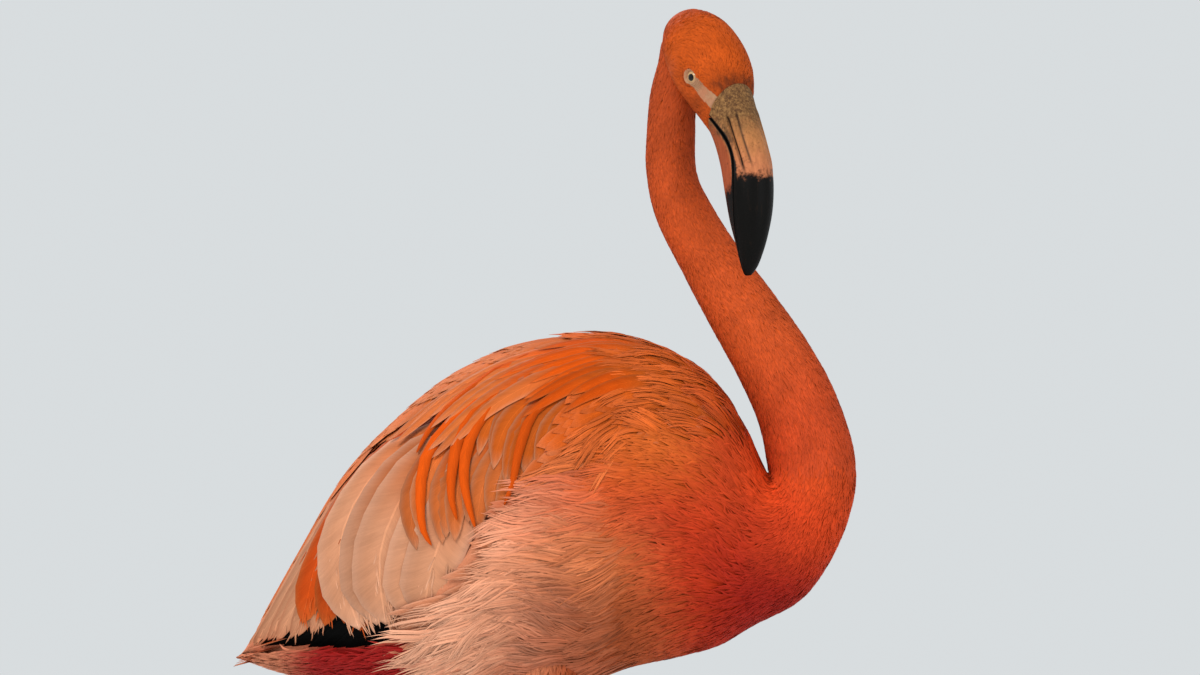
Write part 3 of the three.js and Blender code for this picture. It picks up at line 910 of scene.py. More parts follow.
def single_plumes(pile, cells, sign, rng):
    """The narrow bright plumes that hang over the wing."""
    n, steps = len(PLUMES), 12
    curves = np.stack([spline(plume, pace(steps + 1)) for plume in PLUMES])
    heights = np.linspace(-1.6, -0.4, n)[:, None] + 0.8 * np.sin(pace(steps + 1) * PI)
    places, normals = side_shafts(curves, sign, heights, steps)
    half = outline(steps + 1, 0.55, 0.5)[:, None] * np.array(PLUME_HALVES)
    bright = hue("scapular")
    colour = feather_colour(rng, n, bright * 0.92, bright, bright * 0.8)
    vanes(pile, rng, places, normals, half, colour, cells.take(n), columns=6, camber=0.35, thickness=0.4,
          blunt=0.2)


# ---- Shaders ----


class Value:
    """A value in a shader. Arithmetic on it adds Math nodes, and the named methods other nodes."""

    def __init__(self, finish, socket):
        self.finish, self.socket = finish, socket

    def maths(self, operation, *values):
        return self.finish.node("ShaderNodeMath", {"operation": operation}, dict(enumerate(values)))

    def __add__(self, other):
        return self.maths("ADD", self, other)

    def __sub__(self, other):
        return self.maths("SUBTRACT", self, other)

    def __mul__(self, other):
        return self.maths("MULTIPLY", self, other)

    def __pow__(self, other):
        return self.maths("POWER", self, other)

    def __radd__(self, other):
        return self.maths("ADD", other, self)

    def __rsub__(self, other):
        return self.maths("SUBTRACT", other, self)

    def __rmul__(self, other):
        return self.maths("MULTIPLY", other, self)

    def __abs__(self):
        return self.maths("ABSOLUTE", self)

    def sin(self):
        return self.maths("SINE", self)

    def within(self, low, high):
        """0 below low, 1 above high, and smooth between them."""
        inputs = {"Value": self, "From Min": low, "From Max": high}
        return self.finish.node("ShaderNodeMapRange", {"interpolation_type": "SMOOTHSTEP"}, inputs)

    def part(self, axis):
        """One component of a vector."""
        return self.finish.node("ShaderNodeSeparateXYZ", {}, {"Vector": self}, axis)

    def times(self, other):
        """A vector times a number for each axis."""
        return self.finish.node("ShaderNodeVectorMath", {"operation": "MULTIPLY"}, {0: self, 1: other})

    def scaled(self, amount):
        return self.finish.node("ShaderNodeVectorMath", {"operation": "SCALE"}, {0: self, "Scale": amount})

    def toward(self, other, share):
        """A colour mixed towards another."""
        inputs = {0: share, 6: self, 7: other}
        return self.finish.node("ShaderNodeMix", {"data_type": "RGBA", "clamp_factor": True}, inputs, 2)


class Finish:
    """A material being written."""

    def __init__(self, name):
        self.material = bpy.data.materials.new(name)
        self.material.use_nodes = True
        self.tree = self.material.node_tree
        self.tree.nodes.clear()

    def node(self, kind, settings, inputs, output=0):
        """A node of any type: its settings first, then the values, colours or links of its sockets."""
        node = self.tree.nodes.new(kind)
        for name, value in settings.items():
            setattr(node, name, value)
        for name, value in inputs.items():
            if isinstance(value, Value):
                self.tree.links.new(value.socket, node.inputs[name])
            elif isinstance(value, np.ndarray):
                node.inputs[name].default_value = (*value, 1.0)
            else:
                node.inputs[name].default_value = value
        return Value(self, node.outputs[output])

    def place(self):
        """Where a point is, in metres in the part's frame."""
        return self.node("ShaderNodeTexCoord", {}, {}, 3)

    def attribute(self, name):
        return self.node("ShaderNodeAttribute", {"attribute_name": name}, {})

    def vane(self):
        """Across a feather from 0 to 1, and along it from its root."""
        return self.node("ShaderNodeUVMap", {"uv_map": "vane"}, {})

    def joined(self, x, y, z):
        """A vector from its components."""
        return self.node("ShaderNodeCombineXYZ", {}, {0: x, 1: y, 2: z})

    def noise(self, where, scale, detail=3.0, roughness=0.55):
        inputs = {"Vector": where, "Scale": scale, "Detail": detail, "Roughness": roughness}
        return self.node("ShaderNodeTexNoise", {}, inputs)

    def cells(self, where, scale, feature="F1"):
        return self.node("ShaderNodeTexVoronoi", {"feature": feature}, {"Vector": where, "Scale": scale})

    def blend(self, first, second, share):
        """Two plain colours mixed: the first where share is 0, and the second where it is 1."""
        return self.node("ShaderNodeMix", {"data_type": "RGBA"}, {0: share, 6: first, 7: second}, 2)

    def bump(self, height, strength, distance):
        inputs = {"Height": height, "Strength": strength, "Distance": distance}
        return self.node("ShaderNodeBump", {}, inputs)

    def done(self, **sockets):
        """The Principled shader with these sockets, and the finished material."""
        inputs = {name.replace("_", " "): value for name, value in sockets.items()}
        shader = self.node("ShaderNodeBsdfPrincipled", {}, inputs)
        out = self.tree.nodes.new("ShaderNodeOutputMaterial")
        self.tree.links.new(shader.socket, out.inputs["Surface"])
        return self.material


@cache
def plume_finish():
    """Soft slim feathers: each strand's own tint, with fine barbs."""
    f = Finish("flamingo_plume")
    at = f.place()
    vane = f.vane()
    blotch = f.noise(at, 90.0, 2.0).within(0.25, 0.8)
    lines = f.joined(vane.part(0) * 4.5, vane.part(1) * 1.4, at.part(2) * 60.0)
    barbs = f.noise(lines, 1.0, 2.0, 0.6)
    tint = f.attribute("tint").scaled(0.74 + blotch * 0.12 + barbs * 0.42)
    return f.done(Base_Color=tint, Roughness=0.7, IOR=1.42, Specular_IOR_Level=0.1)


@cache
def vane_finish():
    """Broad feathers: barbs that slant from a pale shaft, and faint bands of growth."""
    f = Finish("flamingo_vane")
    vane = f.vane()
    side, along = vane.part(0) - 0.5, vane.part(1)
    slant = along - abs(side) * 0.22
    strip = f.joined(slant * 150.0, side * 2.0, f.place().part(2) * 9.0)
    barbs = f.noise(strip, 1.0, 2.0, 0.6)
    broad = f.joined(slant * 22.0, side * 1.5, f.place().part(0) * 8.0)
    tufts = f.noise(broad, 1.0, 3.0, 0.6).within(0.3, 0.7)
    shaft = 1.0 - abs(side).within(0.012, 0.03)
    tint = f.attribute("tint").scaled(0.80 + barbs * 0.26 + tufts * 0.12)
    tint = tint.toward(tint.scaled(1.25), shaft * 0.8)
    bumped = f.bump(barbs * 0.6 + tufts * 0.5 + shaft * 0.8, 0.5, 0.0006)
    return f.done(Base_Color=tint, Roughness=0.66, Normal=bumped, IOR=1.42, Specular_IOR_Level=0.05)


def bare_colour(f, at, to_eye=None):
    """The colour and the relief of bare skin: pale, finely folded, with darker folds round the eye."""
    grain = f.noise(at, 620.0, 4.0, 0.7)
    pores = f.cells(at, 900.0)
    patch = f.noise(at, 120.0, 2.0).within(0.35, 0.7)
    tint = f.blend(hue("bare"), hue("bare") * (1.05, 0.8, 0.75), patch)
    tint, relief = tint.scaled(0.72 + grain * 0.5), grain * 0.7 + pores * 0.5
    if to_eye is not None:
        ripple = (to_eye * 62.0 + f.noise(at, 260.0) * 5.0).sin()
        fold = ripple.within(0.62, 0.98) * to_eye.within(0.52, 0.60) * (1.0 - to_eye.within(1.05, 1.25))
        # The folds round the eye are darkened: painted shade in their creases.
        tint = tint.toward(hue("bare") * (0.32, 0.16, 0.13), fold * 0.75)
        relief = relief - fold * 1.5
    return tint, relief


@cache
def down_finish():
    """The skin: down, which shows only between the feathers, and the bare strip by the eye."""
    f = Finish("flamingo_down")
    at = f.place()
    fine = f.noise(at, 420.0, 4.0, 0.65)
    soft = f.noise(at, 60.0, 2.0)
    tint = f.attribute("tint").scaled(0.80 + fine * 0.28 + soft * 0.12)
    marks = f.attribute("bare")
    bare, relief = bare_colour(f, at, marks.part(1))
    share = (marks.part(0) + fine * 0.3 - 0.15).within(0.35, 0.6)
    height = fine * (1.0 - share) * 2.0 + relief * share * 0.7
    return f.done(Base_Color=tint.toward(bare, share), Roughness=0.85 - share * 0.32,
                  Normal=f.bump(height, 0.6, 0.0007), Specular_IOR_Level=0.2)


@cache
def bare_finish():
    """The bare rims of the lids."""
    f = Finish("flamingo_bare_skin")
    tint, relief = bare_colour(f, f.place())
    return f.done(Base_Color=tint, Roughness=0.5, Normal=f.bump(relief, 0.6, 0.0005))


@cache
def leg_finish():
    """Leg skin: cross scutes down the shank and small scales on the joints and toes."""
    f = Finish("flamingo_leg_skin")
    at = f.place()
    scutes = f.cells(at.times((85.0, 85.0, 260.0)), 1.0, "DISTANCE_TO_EDGE").within(0.0, 0.12)
    grain = f.noise(at, 700.0)
    low = 1.0 - at.part(2).within(0.0, 0.05)
    joint = 1.0 - abs(at.part(2) - 0.34).within(0.012, 0.06)
    tint = f.blend(hue("leg"), tone(196, 78, 92), joint + low * 0.5)
    mottle = f.noise(at.times((40.0, 40.0, 14.0)), 1.0, 3.0, 0.6)
    tint = tint.scaled(0.62 + scutes * 0.18 + grain * 0.16 + mottle * 0.16)
    return f.done(Base_Color=tint, Roughness=0.48, Normal=f.bump(scutes + grain * 0.2, 0.5, 0.0008))


def bill_base(f, at, grime):
    """The dark mottled horn at the bill's base, and its cracks."""
    cracks = 1.0 - f.cells(at.times((330.0, 330.0, 210.0)), 1.0, "DISTANCE_TO_EDGE").within(0.0, 0.16)
    mottle = f.noise(at, 480.0, 5.0, 0.8).within(0.34, 0.68)
    brown = f.blend(hue("bill_brown"), hue("bill_olive"), mottle)
    return brown.toward(hue("bill_brown") * 0.5, cracks * grime.within(0.35, 0.65) * 0.6), cracks


@cache
def bill_finish():
    """Horn: dark and cracked at the bill's base, tan to its bend, black beyond and along the mouth."""
    f = Finish("flamingo_bill")
    at = f.place()
    marks = f.attribute("marks")
    lip, slit, under = marks.part(0), marks.part(1), marks.part(2)
    high = at.part(2) + (f.noise(at, 190.0, 4.0, 0.7) * 0.022 + f.noise(at, 700.0) * 0.006)
    streak = f.noise(at.times((420.0, 420.0, 60.0)), 1.0, 4.0, 0.65)
    grime = f.noise(at, 210.0, 5.0, 0.75)
    dark_base = high.within(1.000, 1.024)
    black = 1.0 - (high - lip * 0.018 + under * 0.011).within(0.974, 0.9825)
    tan = f.blend(hue("bill_pink"), hue("bill_tan"), high.within(0.975, 1.008))
    # Below the mouth line the horn is darker and redder: partly the lower half's own colour, partly painted
    # shade under the upper bill.
    tan = tan.toward(hue("bill_pink") * (0.62, 0.36, 0.28), under * 0.9)
    tan = tan.scaled(0.5 + streak).toward(hue("bill_brown"), grime.within(0.52, 0.72) * 0.55)
    veins = (lip**0.12).within(0.25, 0.8) * streak.within(0.47, 0.60) * high.within(0.984, 1.004)
    tan = tan.toward(hue("bill_brown") * 0.8, veins * 0.8)
    brown, cracks = bill_base(f, at, grime)
    colour = tan.toward(brown, dark_base * 0.9)
    # The nostril groove and the hollow above its ridge are darkened: painted shade in the grooves.
    colour = colour.toward(hue("bill_brown") * 0.3, (slit * (0.75 + streak * 0.6)).within(0.1, 0.95))
    colour = colour.toward(hue("black"), lip.within(0.42, 0.8))
    worn = f.blend(hue("black"), hue("bill_brown") * 0.6, streak.within(0.55, 0.8) * 0.45)
    rough = 0.40 + streak * 0.18 + dark_base * 0.2
    height = streak * 0.6 + f.noise(at, 900.0) * 0.4 - cracks * dark_base * 0.8
    return f.done(Base_Color=colour.toward(worn, black), Roughness=rough, Normal=f.bump(height, 0.5, 0.0005),
                  Specular_IOR_Level=0.09)


@cache
def eye_finish():
    """The eye: a black pupil, a pale yellow iris with fine spokes, and a dark rim."""
    f = Finish("flamingo_eye")
    vane = f.vane()
    circle, out = vane.part(0) * TAU, vane.part(1)
    spokes = f.joined(circle.sin() * 9.0, (circle + PI / 2).sin() * 9.0, out * 3.0)
    fine = f.noise(spokes, 1.6, 4.0, 0.7)
    pupil = 1.0 - out.within(0.33, 0.355)
    rim = out.within(0.54, 0.64)
    iris = f.blend(hue("iris") * 0.75, hue("iris"), fine.within(0.3, 0.7))
    colour = iris.toward(tone(48, 26, 14), rim).toward(tone(8, 7, 7), pupil)
    return f.done(Base_Color=colour, Roughness=0.12, Coat_Weight=0.25, Coat_Roughness=0.02, IOR=1.38,
                  Specular_IOR_Level=0.25)


@cache
def claw_finish():
    f = Finish("flamingo_claw")
    grain = f.noise(f.place().times((300.0, 300.0, 900.0)), 1.0)
    tint = f.blend(tone(38, 30, 28), tone(78, 60, 54), grain)
    return f.done(Base_Color=tint, Roughness=0.4, Normal=f.bump(grain, 0.4, 0.0004))


@cache
def floor_finish():
    f = Finish("stage_floor")
    tint = f.blend(tone(214, 214, 212), tone(220, 220, 219), f.noise(f.place(), 6.0))
    return f.done(Base_Color=tint, Roughness=0.8)


def dress(piece, material, nodes=()):
    """Gives a piece its material, its body, the solids that it stands for, and its slot."""
    piece.data.materials.clear()
    piece.data.materials.append(material())
    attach(piece, "root")
    if nodes:
        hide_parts(*nodes)


# ---- Pieces from primitives ----


def clear_selection():
    if bpy.context.object and bpy.context.object.mode != "OBJECT":
        bpy.ops.object.mode_set(mode="OBJECT")
    bpy.ops.object.select_all(action="DESELECT")


def pick(piece):
    clear_selection()
    piece.select_set(True)
    bpy.context.view_layer.objects.active = piece


def vertices_of(piece):
    co = np.empty(len(piece.data.vertices) * 3, np.float32)
    piece.data.vertices.foreach_get("co", co)
    return co.reshape(-1, 3).astype(float)


def globe(name, segments, rings):
    """A new sphere, with each vertex's share of the way from pole to pole and its angle round."""
    clear_selection()
    bpy.ops.mesh.primitive_uv_sphere_add(segments=segments, ring_count=rings, radius=1)
    piece = bpy.context.active_object
    piece.name = piece.data.name = name
    co = vertices_of(piece)
    return piece, np.arccos(np.clip(co[:, 2], -1, 1)) / PI, np.arctan2(co[:, 1], co[:, 0])


def face_out(piece):
    pick(piece)
    bpy.ops.object.mode_set(mode="EDIT")
    bpy.ops.mesh.select_all(action="SELECT")
    bpy.ops.mesh.normals_make_consistent(inside=False)
    bpy.ops.object.mode_set(mode="OBJECT")
    bpy.ops.object.shade_smooth()


def shaped(piece, points):
    """A primitive with its vertices moved to places in millimetres, and its normals outward."""
    piece.data.vertices.foreach_set("co", (points * MM).astype(np.float32).ravel())
    piece.data.update()
    face_out(piece)
    return piece


def shaped_in_head(piece, q):
    """The same for places in the head's own frame."""
    return shaped(piece, q @ HEAD_BASIS.T + HEAD_ORIGIN)


def from_pole_to_pole(share, rings):
    """How far each vertex of a globe is from its first ring to its last, and which ones are its poles."""
    one = 1.0 / rings
    return np.clip((share - one) / (1 - 2 * one), 0, 1), (share < one * 0.3) | (share > 1 - one * 0.3)


def loft(name, form, segments, rings, grow=0.0, span=(0.0, 1.0)):
    """A closed solid over a form, with flat ends. grow moves it outwards: a number, or grow(t, turn)."""
    piece, share, turn = globe(name, segments, rings)
    down, pole = from_pole_to_pole(share, rings)
    t = span[0] + (span[1] - span[0]) * down
    points = form.point(t, turn, grow(t, turn) if callable(grow) else grow)
    points[pole] = form.point(t[pole], turn[pole] * 0, -1000.0)
    return shaped(piece, points)


def join_solids(first, *others):
    """The union of closed solids, left in the first."""
    for other in others:
        pick(first)
        cut = first.modifiers.new("join", "BOOLEAN")
        cut.operation = "UNION"
        cut.solver = "MANIFOLD"
        cut.object = other
        bpy.ops.object.modifier_apply(modifier=cut.name)
        bpy.data.objects.remove(other)
    return first


def limb_form(start, end, radii):
    """A round limb as a form, from (x, y, z) to (x, y, z) in the tables' frame."""
    start, end = np.array(start, float), np.array(end, float)
    share = np.linspace(0, 1, len(radii))[:, None]
    middle = start * (1 - share) + end * share
    return Form([(x - r, z, x + r, z, r, y) for (x, y, z), r in zip(middle, radii)])


def leg_places(sign):
    """The ankle, and the foot on the floor, of one leg."""
    shift = -sign * STRIDE
    ankle = (LEG["ankle"][0] + shift * 0.45, sign * LEG["ankle"][1], LEG["ankle"][2])
    return ankle, (LEG["foot"][0] + shift, sign * LEG["foot"][1])


def toe_ends(sign):
    """Where the three front toes and the hind toe of one foot end."""
    _, (x, y) = leg_places(sign)
    ends = []
    for degrees, length in zip(TOES["spread"], TOES["length"]):
        turn = math.radians(degrees * sign)
        ends.append((x + length * math.cos(turn), y + length * math.sin(turn)))
    return [*ends, (x - TOES["hind"], y)]


def ball_solid(name, centre, radii, segments, rings, floor=None):
    """A rounded solid, flat where it would reach below a floor."""
    piece, _, _ = globe(name, segments, rings)
    points = vertices_of(piece) * np.array(radii) + np.array(centre) + SHIFT
    if floor is not None:
        points[:, 2] = np.maximum(points[:, 2], floor)
    return shaped(piece, points)


def toe_solid(name, start, end, tip, knuckles=3):
    """One toe along the floor: a row of soft pads with a flat sole."""
    piece, share, turn = globe(name, 16, 30)
    start, end = np.array(start), np.array(end)
    run = end - start
    ahead = run / np.linalg.norm(run)
    side = np.array([-ahead[1], ahead[0]])
    along = np.clip((share - 0.02) / 0.96, 0, 1)
    radius = TOES["root"] * (1 - along) + tip * along
    swell = 1 + 0.13 * np.abs(np.sin(along * PI * knuckles))
    radius = radius * swell * np.sin(share * PI) ** 0.22
    radius = np.where((share < 0.01) | (share > 0.99), 0.02, radius)
    flat = start + run * along[:, None] + side * (radius * np.sin(turn) * 1.05)[:, None]
    level = TOES["root"] * 0.6 * (1 - along) + tip * 0.62 * along
    height = np.maximum(level + radius * np.cos(turn), 0.0)
    return shaped(piece, np.concatenate([flat, height[:, None]], 1) + SHIFT)


def web_solid(name, heel, ends):
    """The web between the front toes: thin, with a hollow front edge between each two."""
    piece, share, turn = globe(name, 96, 12)
    heel = np.array(heel)
    inner, middle, outer = (np.array(end) * 0.90 + heel * 0.10 for end in ends)
    s = np.linspace(0, 1, 16, endpoint=False)[:, None]
    edge = [heel + (inner - heel) * s]
    for a, b in ((inner, middle), (middle, outer)):
        notch = (a + b) * 0.36 + heel * 0.28
        edge.append(a * (1 - s) ** 2 + 2 * notch * s * (1 - s) + b * s**2)
    edge = np.concatenate([*edge, outer + (heel - outer) * s, heel[None]])
    at = (turn + PI) / TAU * (len(edge) - 1)
    rim = np.stack([np.interp(at, np.arange(len(edge)), edge[:, k]) for k in (0, 1)], -1)
    middle = heel + (middle - heel) * 0.35
    out = np.sin(share * PI)[:, None]
    flat = middle * (1 - out) + rim * out
    thick = TOES["web"] * (0.5 + 0.5 * np.sign(np.round(0.5 - share, 3)))
    return shaped(piece, np.concatenate([flat, thick[:, None]], 1) + SHIFT)


def lids_and_lores(p):
    """Where the head is bare, from 0 to 1: the lids and the strip from the eye to the bill."""
    q = to_head(p)
    to_eye, along, off = by_eye(q)
    off = np.abs(off) - 0.6 * ease(0.2, 1.0, along)
    strip = (1 - ease(3.4, 4.4, off)) * ease(EYE["x"], EYE["x"] + 3, q[..., 0])
    return np.maximum(1 - ease(5.2, 5.9, to_eye), strip) * ease(9, 12, np.abs(q[..., 1]))


def tint_skin(skin, sources):
    """Gives the joined skin the colours of the forms that it came from, and its two finishes."""
    places, tints = (np.concatenate(rows) for rows in zip(*sources))
    tree = KDTree(len(places))
    for i, place in enumerate(places):
        tree.insert(place, i)
    tree.balance()
    co = vertices_of(skin) / MM
    write_tint(skin.data, "tint", tints[[tree.find(place)[1] for place in co]])
    to_eye, _, _ = by_eye(to_head(co))
    marks = np.stack([lids_and_lores(co), to_eye * 0.1, np.zeros(len(co))], -1)
    skin.data.attributes.new("bare", "FLOAT_VECTOR", "POINT").data.foreach_set("vector", marks.ravel())
    top = np.array([max(co[i, 2] for i in face.vertices) for face in skin.data.polygons])
    on_leg = (top < THIGH_RINGS[-1][2] + 6).astype(np.int32)
    dress(skin, down_finish, SKIN_NODES)
    skin.data.materials.append(leg_finish())
    skin.data.polygons.foreach_set("material_index", on_leg)
    skin.data.update()


def under_wing(p):
    """Where the long wing feathers lie, from 0 to 1."""
    x, z = p[..., 0] - SHIFT[0], p[..., 2]
    edge_x, edge_z = zip(*FLANK_EDGE, (96, 800), (96, 830), (70, 860))
    return ease(16, -12, x - np.interp(z, edge_z, edge_x)) * ease(604, 624, z)


def skin_depth(t, turn):
    """How far under the plumage's outside the skin of the neck and body lies."""
    p = TORSO.point(t, turn)
    deep = 1.0 + 0.5 * ease(0.32, 0.5, t) + 1.5 * ease(100, 50, p[..., 0]) + 9.5 * under_wing(p)
    return -deep * (1 - 0.6 * ease(0.94, 1.0, t))


def head_tone(p):
    """The plumage's colour on the head, by place."""
    q = to_head(p)
    x, side, z = q[..., 0], np.abs(q[..., 1]), q[..., 2]
    patchy = 0.8 + 0.35 * np.sin(x * 0.9 + z * 0.55) * np.sin(side * 0.7 - z * 0.8)
    return layered(
        p, "crown",
        ("face", ease(6, -6, z) * 0.8),
        ("neck_top", ease(-12, -34, x)),
        # Painted shade on the feathers where they meet the bill's base, patchy above it and fainter below.
        ("bill_edge_shade", bell(x, 37.5, 6) * bell(z, 14, 9) * 0.85 * patchy),
        ("bill_edge_shade", bell(x, 34, 6) * bell(z, -8, 9) * 0.35),
    )


SKIN_NODES = [
    "head", "neck_upper", "neck_middle", "neck_lower", "neck_base", "trunk",
    *[f"{side}_{part}" for side in SIDES for part in ("thigh", "tibia", "ankle", "tarsus", "foot")],
]
HEAD_SKIN = -0.8  # how far the skin is out from the form, and so under its plumage
THIGH_SKIN = -1.5


def thigh_depth(t, turn):
    return THIGH_SKIN * (1 - 0.9 * ease(0.6, 1.0, t))


def leg_solids(side, sign):
    """The closed solids of one leg, from the thigh to the web of the foot."""
    ankle, foot = leg_places(sign)
    x, y, z, _ = THIGH_RINGS[-1]
    knee = (x + 1, sign * y, z + 14)
    name = f"skin_{side}_"
    solids = [
        loft(name + "thigh", thigh_form(sign), 40, 40, thigh_depth),
        loft(name + "tibia", limb_form(knee, ankle, TIBIA_RADII), 24, 60),
        ball_solid(name + "ankle", ankle, ANKLE_RADII, 32, 24),
        loft(name + "tarsus", limb_form(ankle, (*foot, LEG["sole"]), TARSUS_RADII), 24, 80),
        ball_solid(name + "heel", (*foot, 6), HEEL_RADII, 28, 18, floor=0.0),
    ]
    *fronts, behind = toe_ends(sign)
    for i, end in enumerate(fronts):
        solids.append(toe_solid(f"{name}toe_{i}", foot, end, TOES["tip"]))
    solids.append(toe_solid(name + "hind", (foot[0] - 2, foot[1]), behind, 1.6, knuckles=1))
    solids.append(web_solid(name + "web", (foot[0] + 2, foot[1]), fronts))
    return solids


def skin_colours():
    """Places near the skin, and the plumage's colour at each: a list of (places, colours)."""
    t, turn = grid(np.linspace(0, 1, 260), np.linspace(-PI, PI, 120))
    down = TORSO.start + (1 - TORSO.start) * t
    body, head = TORSO.point(down, turn, skin_depth(down, turn)), HEAD.point(t, turn, HEAD_SKIN)
    sources = [(body, torso_tone(body, down, turn)), (head, head_tone(head))]
    for sign in SIDES.values():
        thigh = thigh_form(sign).point(t[::5], turn[::5], THIGH_SKIN)
        sources.append((thigh, np.broadcast_to(hue("thigh"), thigh.shape)))
    return sources


def make_skin():
    """The skin of the head, neck, body, legs and feet, as one piece."""
    torso = loft("skin", TORSO, 96, 160, skin_depth, (TORSO.start, 1.0))
    parts = [loft("skin_head", HEAD, 176, 130, HEAD_SKIN)]
    for side, sign in SIDES.items():
        parts += leg_solids(side, sign)
    skin = join_solids(torso, *parts)
    face_out(skin)
    tint_skin(skin, skin_colours())


CLAW = {"radius": 1.9, "back": -3.0, "length": 6.4, "high": 2.5, "droop": 1.6, "hind": 0.6}


def claw_solid(name, foot, end, size):
    """A small blunt claw on the end of one toe."""
    foot, end = np.array(foot), np.array(end)
    ahead = unit(end - foot)
    across = np.array([-ahead[1], ahead[0]])
    piece, share, turn = globe(name, 16, 16)
    radius = CLAW["radius"] * size * np.sin(share * PI) ** 0.6 * (1 - 0.45 * share)
    reach = (CLAW["back"] + CLAW["length"] * share) * size
    flat = end + ahead * reach[:, None] + across * (radius * np.sin(turn) * 1.15)[:, None]
    level = (CLAW["high"] - CLAW["droop"] * share**2) * size
    height = np.maximum(level + radius * np.cos(turn) * 0.8, 0.02)
    return shaped(piece, np.concatenate([flat, height[:, None]], 1) + SHIFT)


def make_claws():
    """The claws."""
    parts = []
    for side, sign in SIDES.items():
        _, foot = leg_places(sign)
        for i, (end, size) in enumerate(zip(toe_ends(sign), (1.0, 1.0, 1.0, CLAW["hind"]))):
            parts.append(claw_solid(f"claw_{side}_{i}", foot, end, size))
    claws = parts[0]
    clear_selection()
    for piece in parts:
        piece.select_set(True)
    bpy.context.view_layer.objects.active = claws
    bpy.ops.object.join()
    claws.name = claws.data.name = "claws"
    dress(claws, claw_finish)


def make_eye(side, sign):
    """An eyeball with its clear bulge, turned so that its map runs out from the pupil."""
    piece, share, turn = globe(f"{side}_eye_ball", 64, 48)
    angle = share * PI
    radius = chosen("eye") * (1 + 0.055 * bell(angle, 0, 0.75))
    axis = unit(np.array([0.18, sign, 0.05]))
    ahead = unit(np.cross(axis, [0, 0, 1.0]))
    up = np.cross(ahead, axis)
    parts = (np.cos(angle), axis), (np.sin(angle) * np.cos(turn), ahead), (np.sin(angle) * np.sin(turn), up)
    q = sum(share_of[:, None] * way for share_of, way in parts) * radius[:, None]
    q = q + np.array([EYE["x"], sign * EYE["side"], EYE["z"]])
    shaped_in_head(piece, q)
    layer = piece.data.uv_layers.new(name="vane")
    loops = np.empty(len(piece.data.loops), np.int32)
    piece.data.loops.foreach_get("vertex_index", loops)
    out = np.sin(np.minimum(angle, PI / 2)) + np.maximum(angle - PI / 2, 0)
    layer.data.foreach_set("uv", np.stack([(turn / TAU) % 1.0, out], -1)[loops].ravel())
    dress(piece, eye_finish, [f"{side}_eye"])


LID_TUBE = 0.2  # the tube of the ring that a lid is shaped from


def make_lids(side, sign):
    """The bare rim of the lids, a soft ring that lies round the eyeball."""
    clear_selection()
    bpy.ops.mesh.primitive_torus_add(
        major_segments=72, minor_segments=14, major_radius=1, minor_radius=LID_TUBE
    )
    piece = bpy.context.active_object
    piece.name = piece.data.name = f"{side}_lids"
    co = vertices_of(piece)
    angle = np.arctan2(co[:, 1], co[:, 0])
    out = np.hypot(co[:, 0], co[:, 1]) - 1
    opening = chosen("eye_opening")
    rim = opening * (1 + 0.05 * np.cos(2 * angle)) + 0.35
    reach = rim + out / LID_TUBE * 0.5
    x = EYE["x"] + reach * np.cos(angle) * 1.02
    z = EYE["z"] + reach * np.sin(angle) * 0.94
    deep = math.sqrt(chosen("eye") ** 2 - opening**2)
    folds = 0.12 * np.cos(angle * 18)
    y = EYE["side"] + deep - 0.15 + co[:, 2] / LID_TUBE * 0.6 - 0.25 * (reach - opening) + folds
    shaped_in_head(piece, np.stack([x, sign * y, z], -1))
    dress(piece, bare_finish)


def mouth_turn(t, offset):
    """How far round the bill, at each t, its surface reaches the mouth line, less an offset in height."""
    turns = np.linspace(0.15, PI - 0.15, 240)
    tt = np.repeat(t, len(turns))
    q = to_head(BILL.point(tt, np.tile(turns, len(t)))).reshape(len(t), len(turns), 3)
    above = q[..., 2] > mouth_height(q[..., 0]) + offset
    first = np.where(above.all(1), len(turns) - 1, np.argmin(above, 1))
    first = np.where(~above[:, 0], 0, first)
    return turns[first]


BILL_OUTSIDE = 0.72  # the share of a half's girth that is its outside, and not the face inside


def bill_half(name, upper):
    """One half of the bill. Its outside follows the bill's form, and a flat face meets the other half."""
    rings = 150
    piece, share, angle = globe(name, 120, rings)
    down, pole = from_pole_to_pole(share, rings)
    t = down * 0.999
    levels = np.linspace(0, 0.999, 400)
    edge = np.interp(t, levels, mouth_turn(levels, MOUTH_GAP / 2 if upper else -MOUTH_GAP / 2))
    way = angle / PI
    outside = np.clip(np.abs(way) / BILL_OUTSIDE, 0, 1)
    inside = np.clip((np.abs(way) - BILL_OUTSIDE) / (1 - BILL_OUTSIDE), 0, 1)[:, None]
    turn = edge * outside if upper else PI - (PI - edge) * outside
    points = BILL.point(t, turn * np.sign(way + 1e-9))
    rim = BILL.point(t, np.where(way < 0, -edge, edge))
    other = BILL.point(t, np.where(way < 0, edge, -edge))
    points = np.where(inside > 0, rim * (1 - inside / 2) + other * inside / 2, points)
    points = np.where(pole[:, None], rim * 0.5 + other * 0.5, points)
    shaped(piece, points)
    mark_bill(piece)
    return piece


def nostril_height(x):
    return -0.5 - (x - 59) * 0.37


def mark_bill(piece):
    """Writes what the horn's finish reads: how near mouth and nostril are, and what is under the mouth."""
    q = to_head(vertices_of(piece) / MM)
    x, side, z = q[:, 0], np.abs(q[:, 1]), q[:, 2]
    lip = bell(z, mouth_height(x), 2.2) * ease(38, 46, x)
    over = z - nostril_height(x)
    # slit is where the nostril groove and the hollow along its ridge lie, which the finish darkens as painted
    # shade.
    slit = bell(over, 0, 1.5) + 0.7 * bell(over, 5.2, 1.0)
    slit = slit * ease(52, 60, x) * (1 - ease(88, 106, x)) * ease(4, 9, side)
    write_tint(piece.data, "marks", np.stack([lip, slit, ease(0.5, 4, mouth_height(x) - z)], -1))


TEETH = {"count": 110, "from": 0.10, "to": 0.93, "half": 0.42, "root": 0.4, "thick": 0.35, "lean": 0.3}


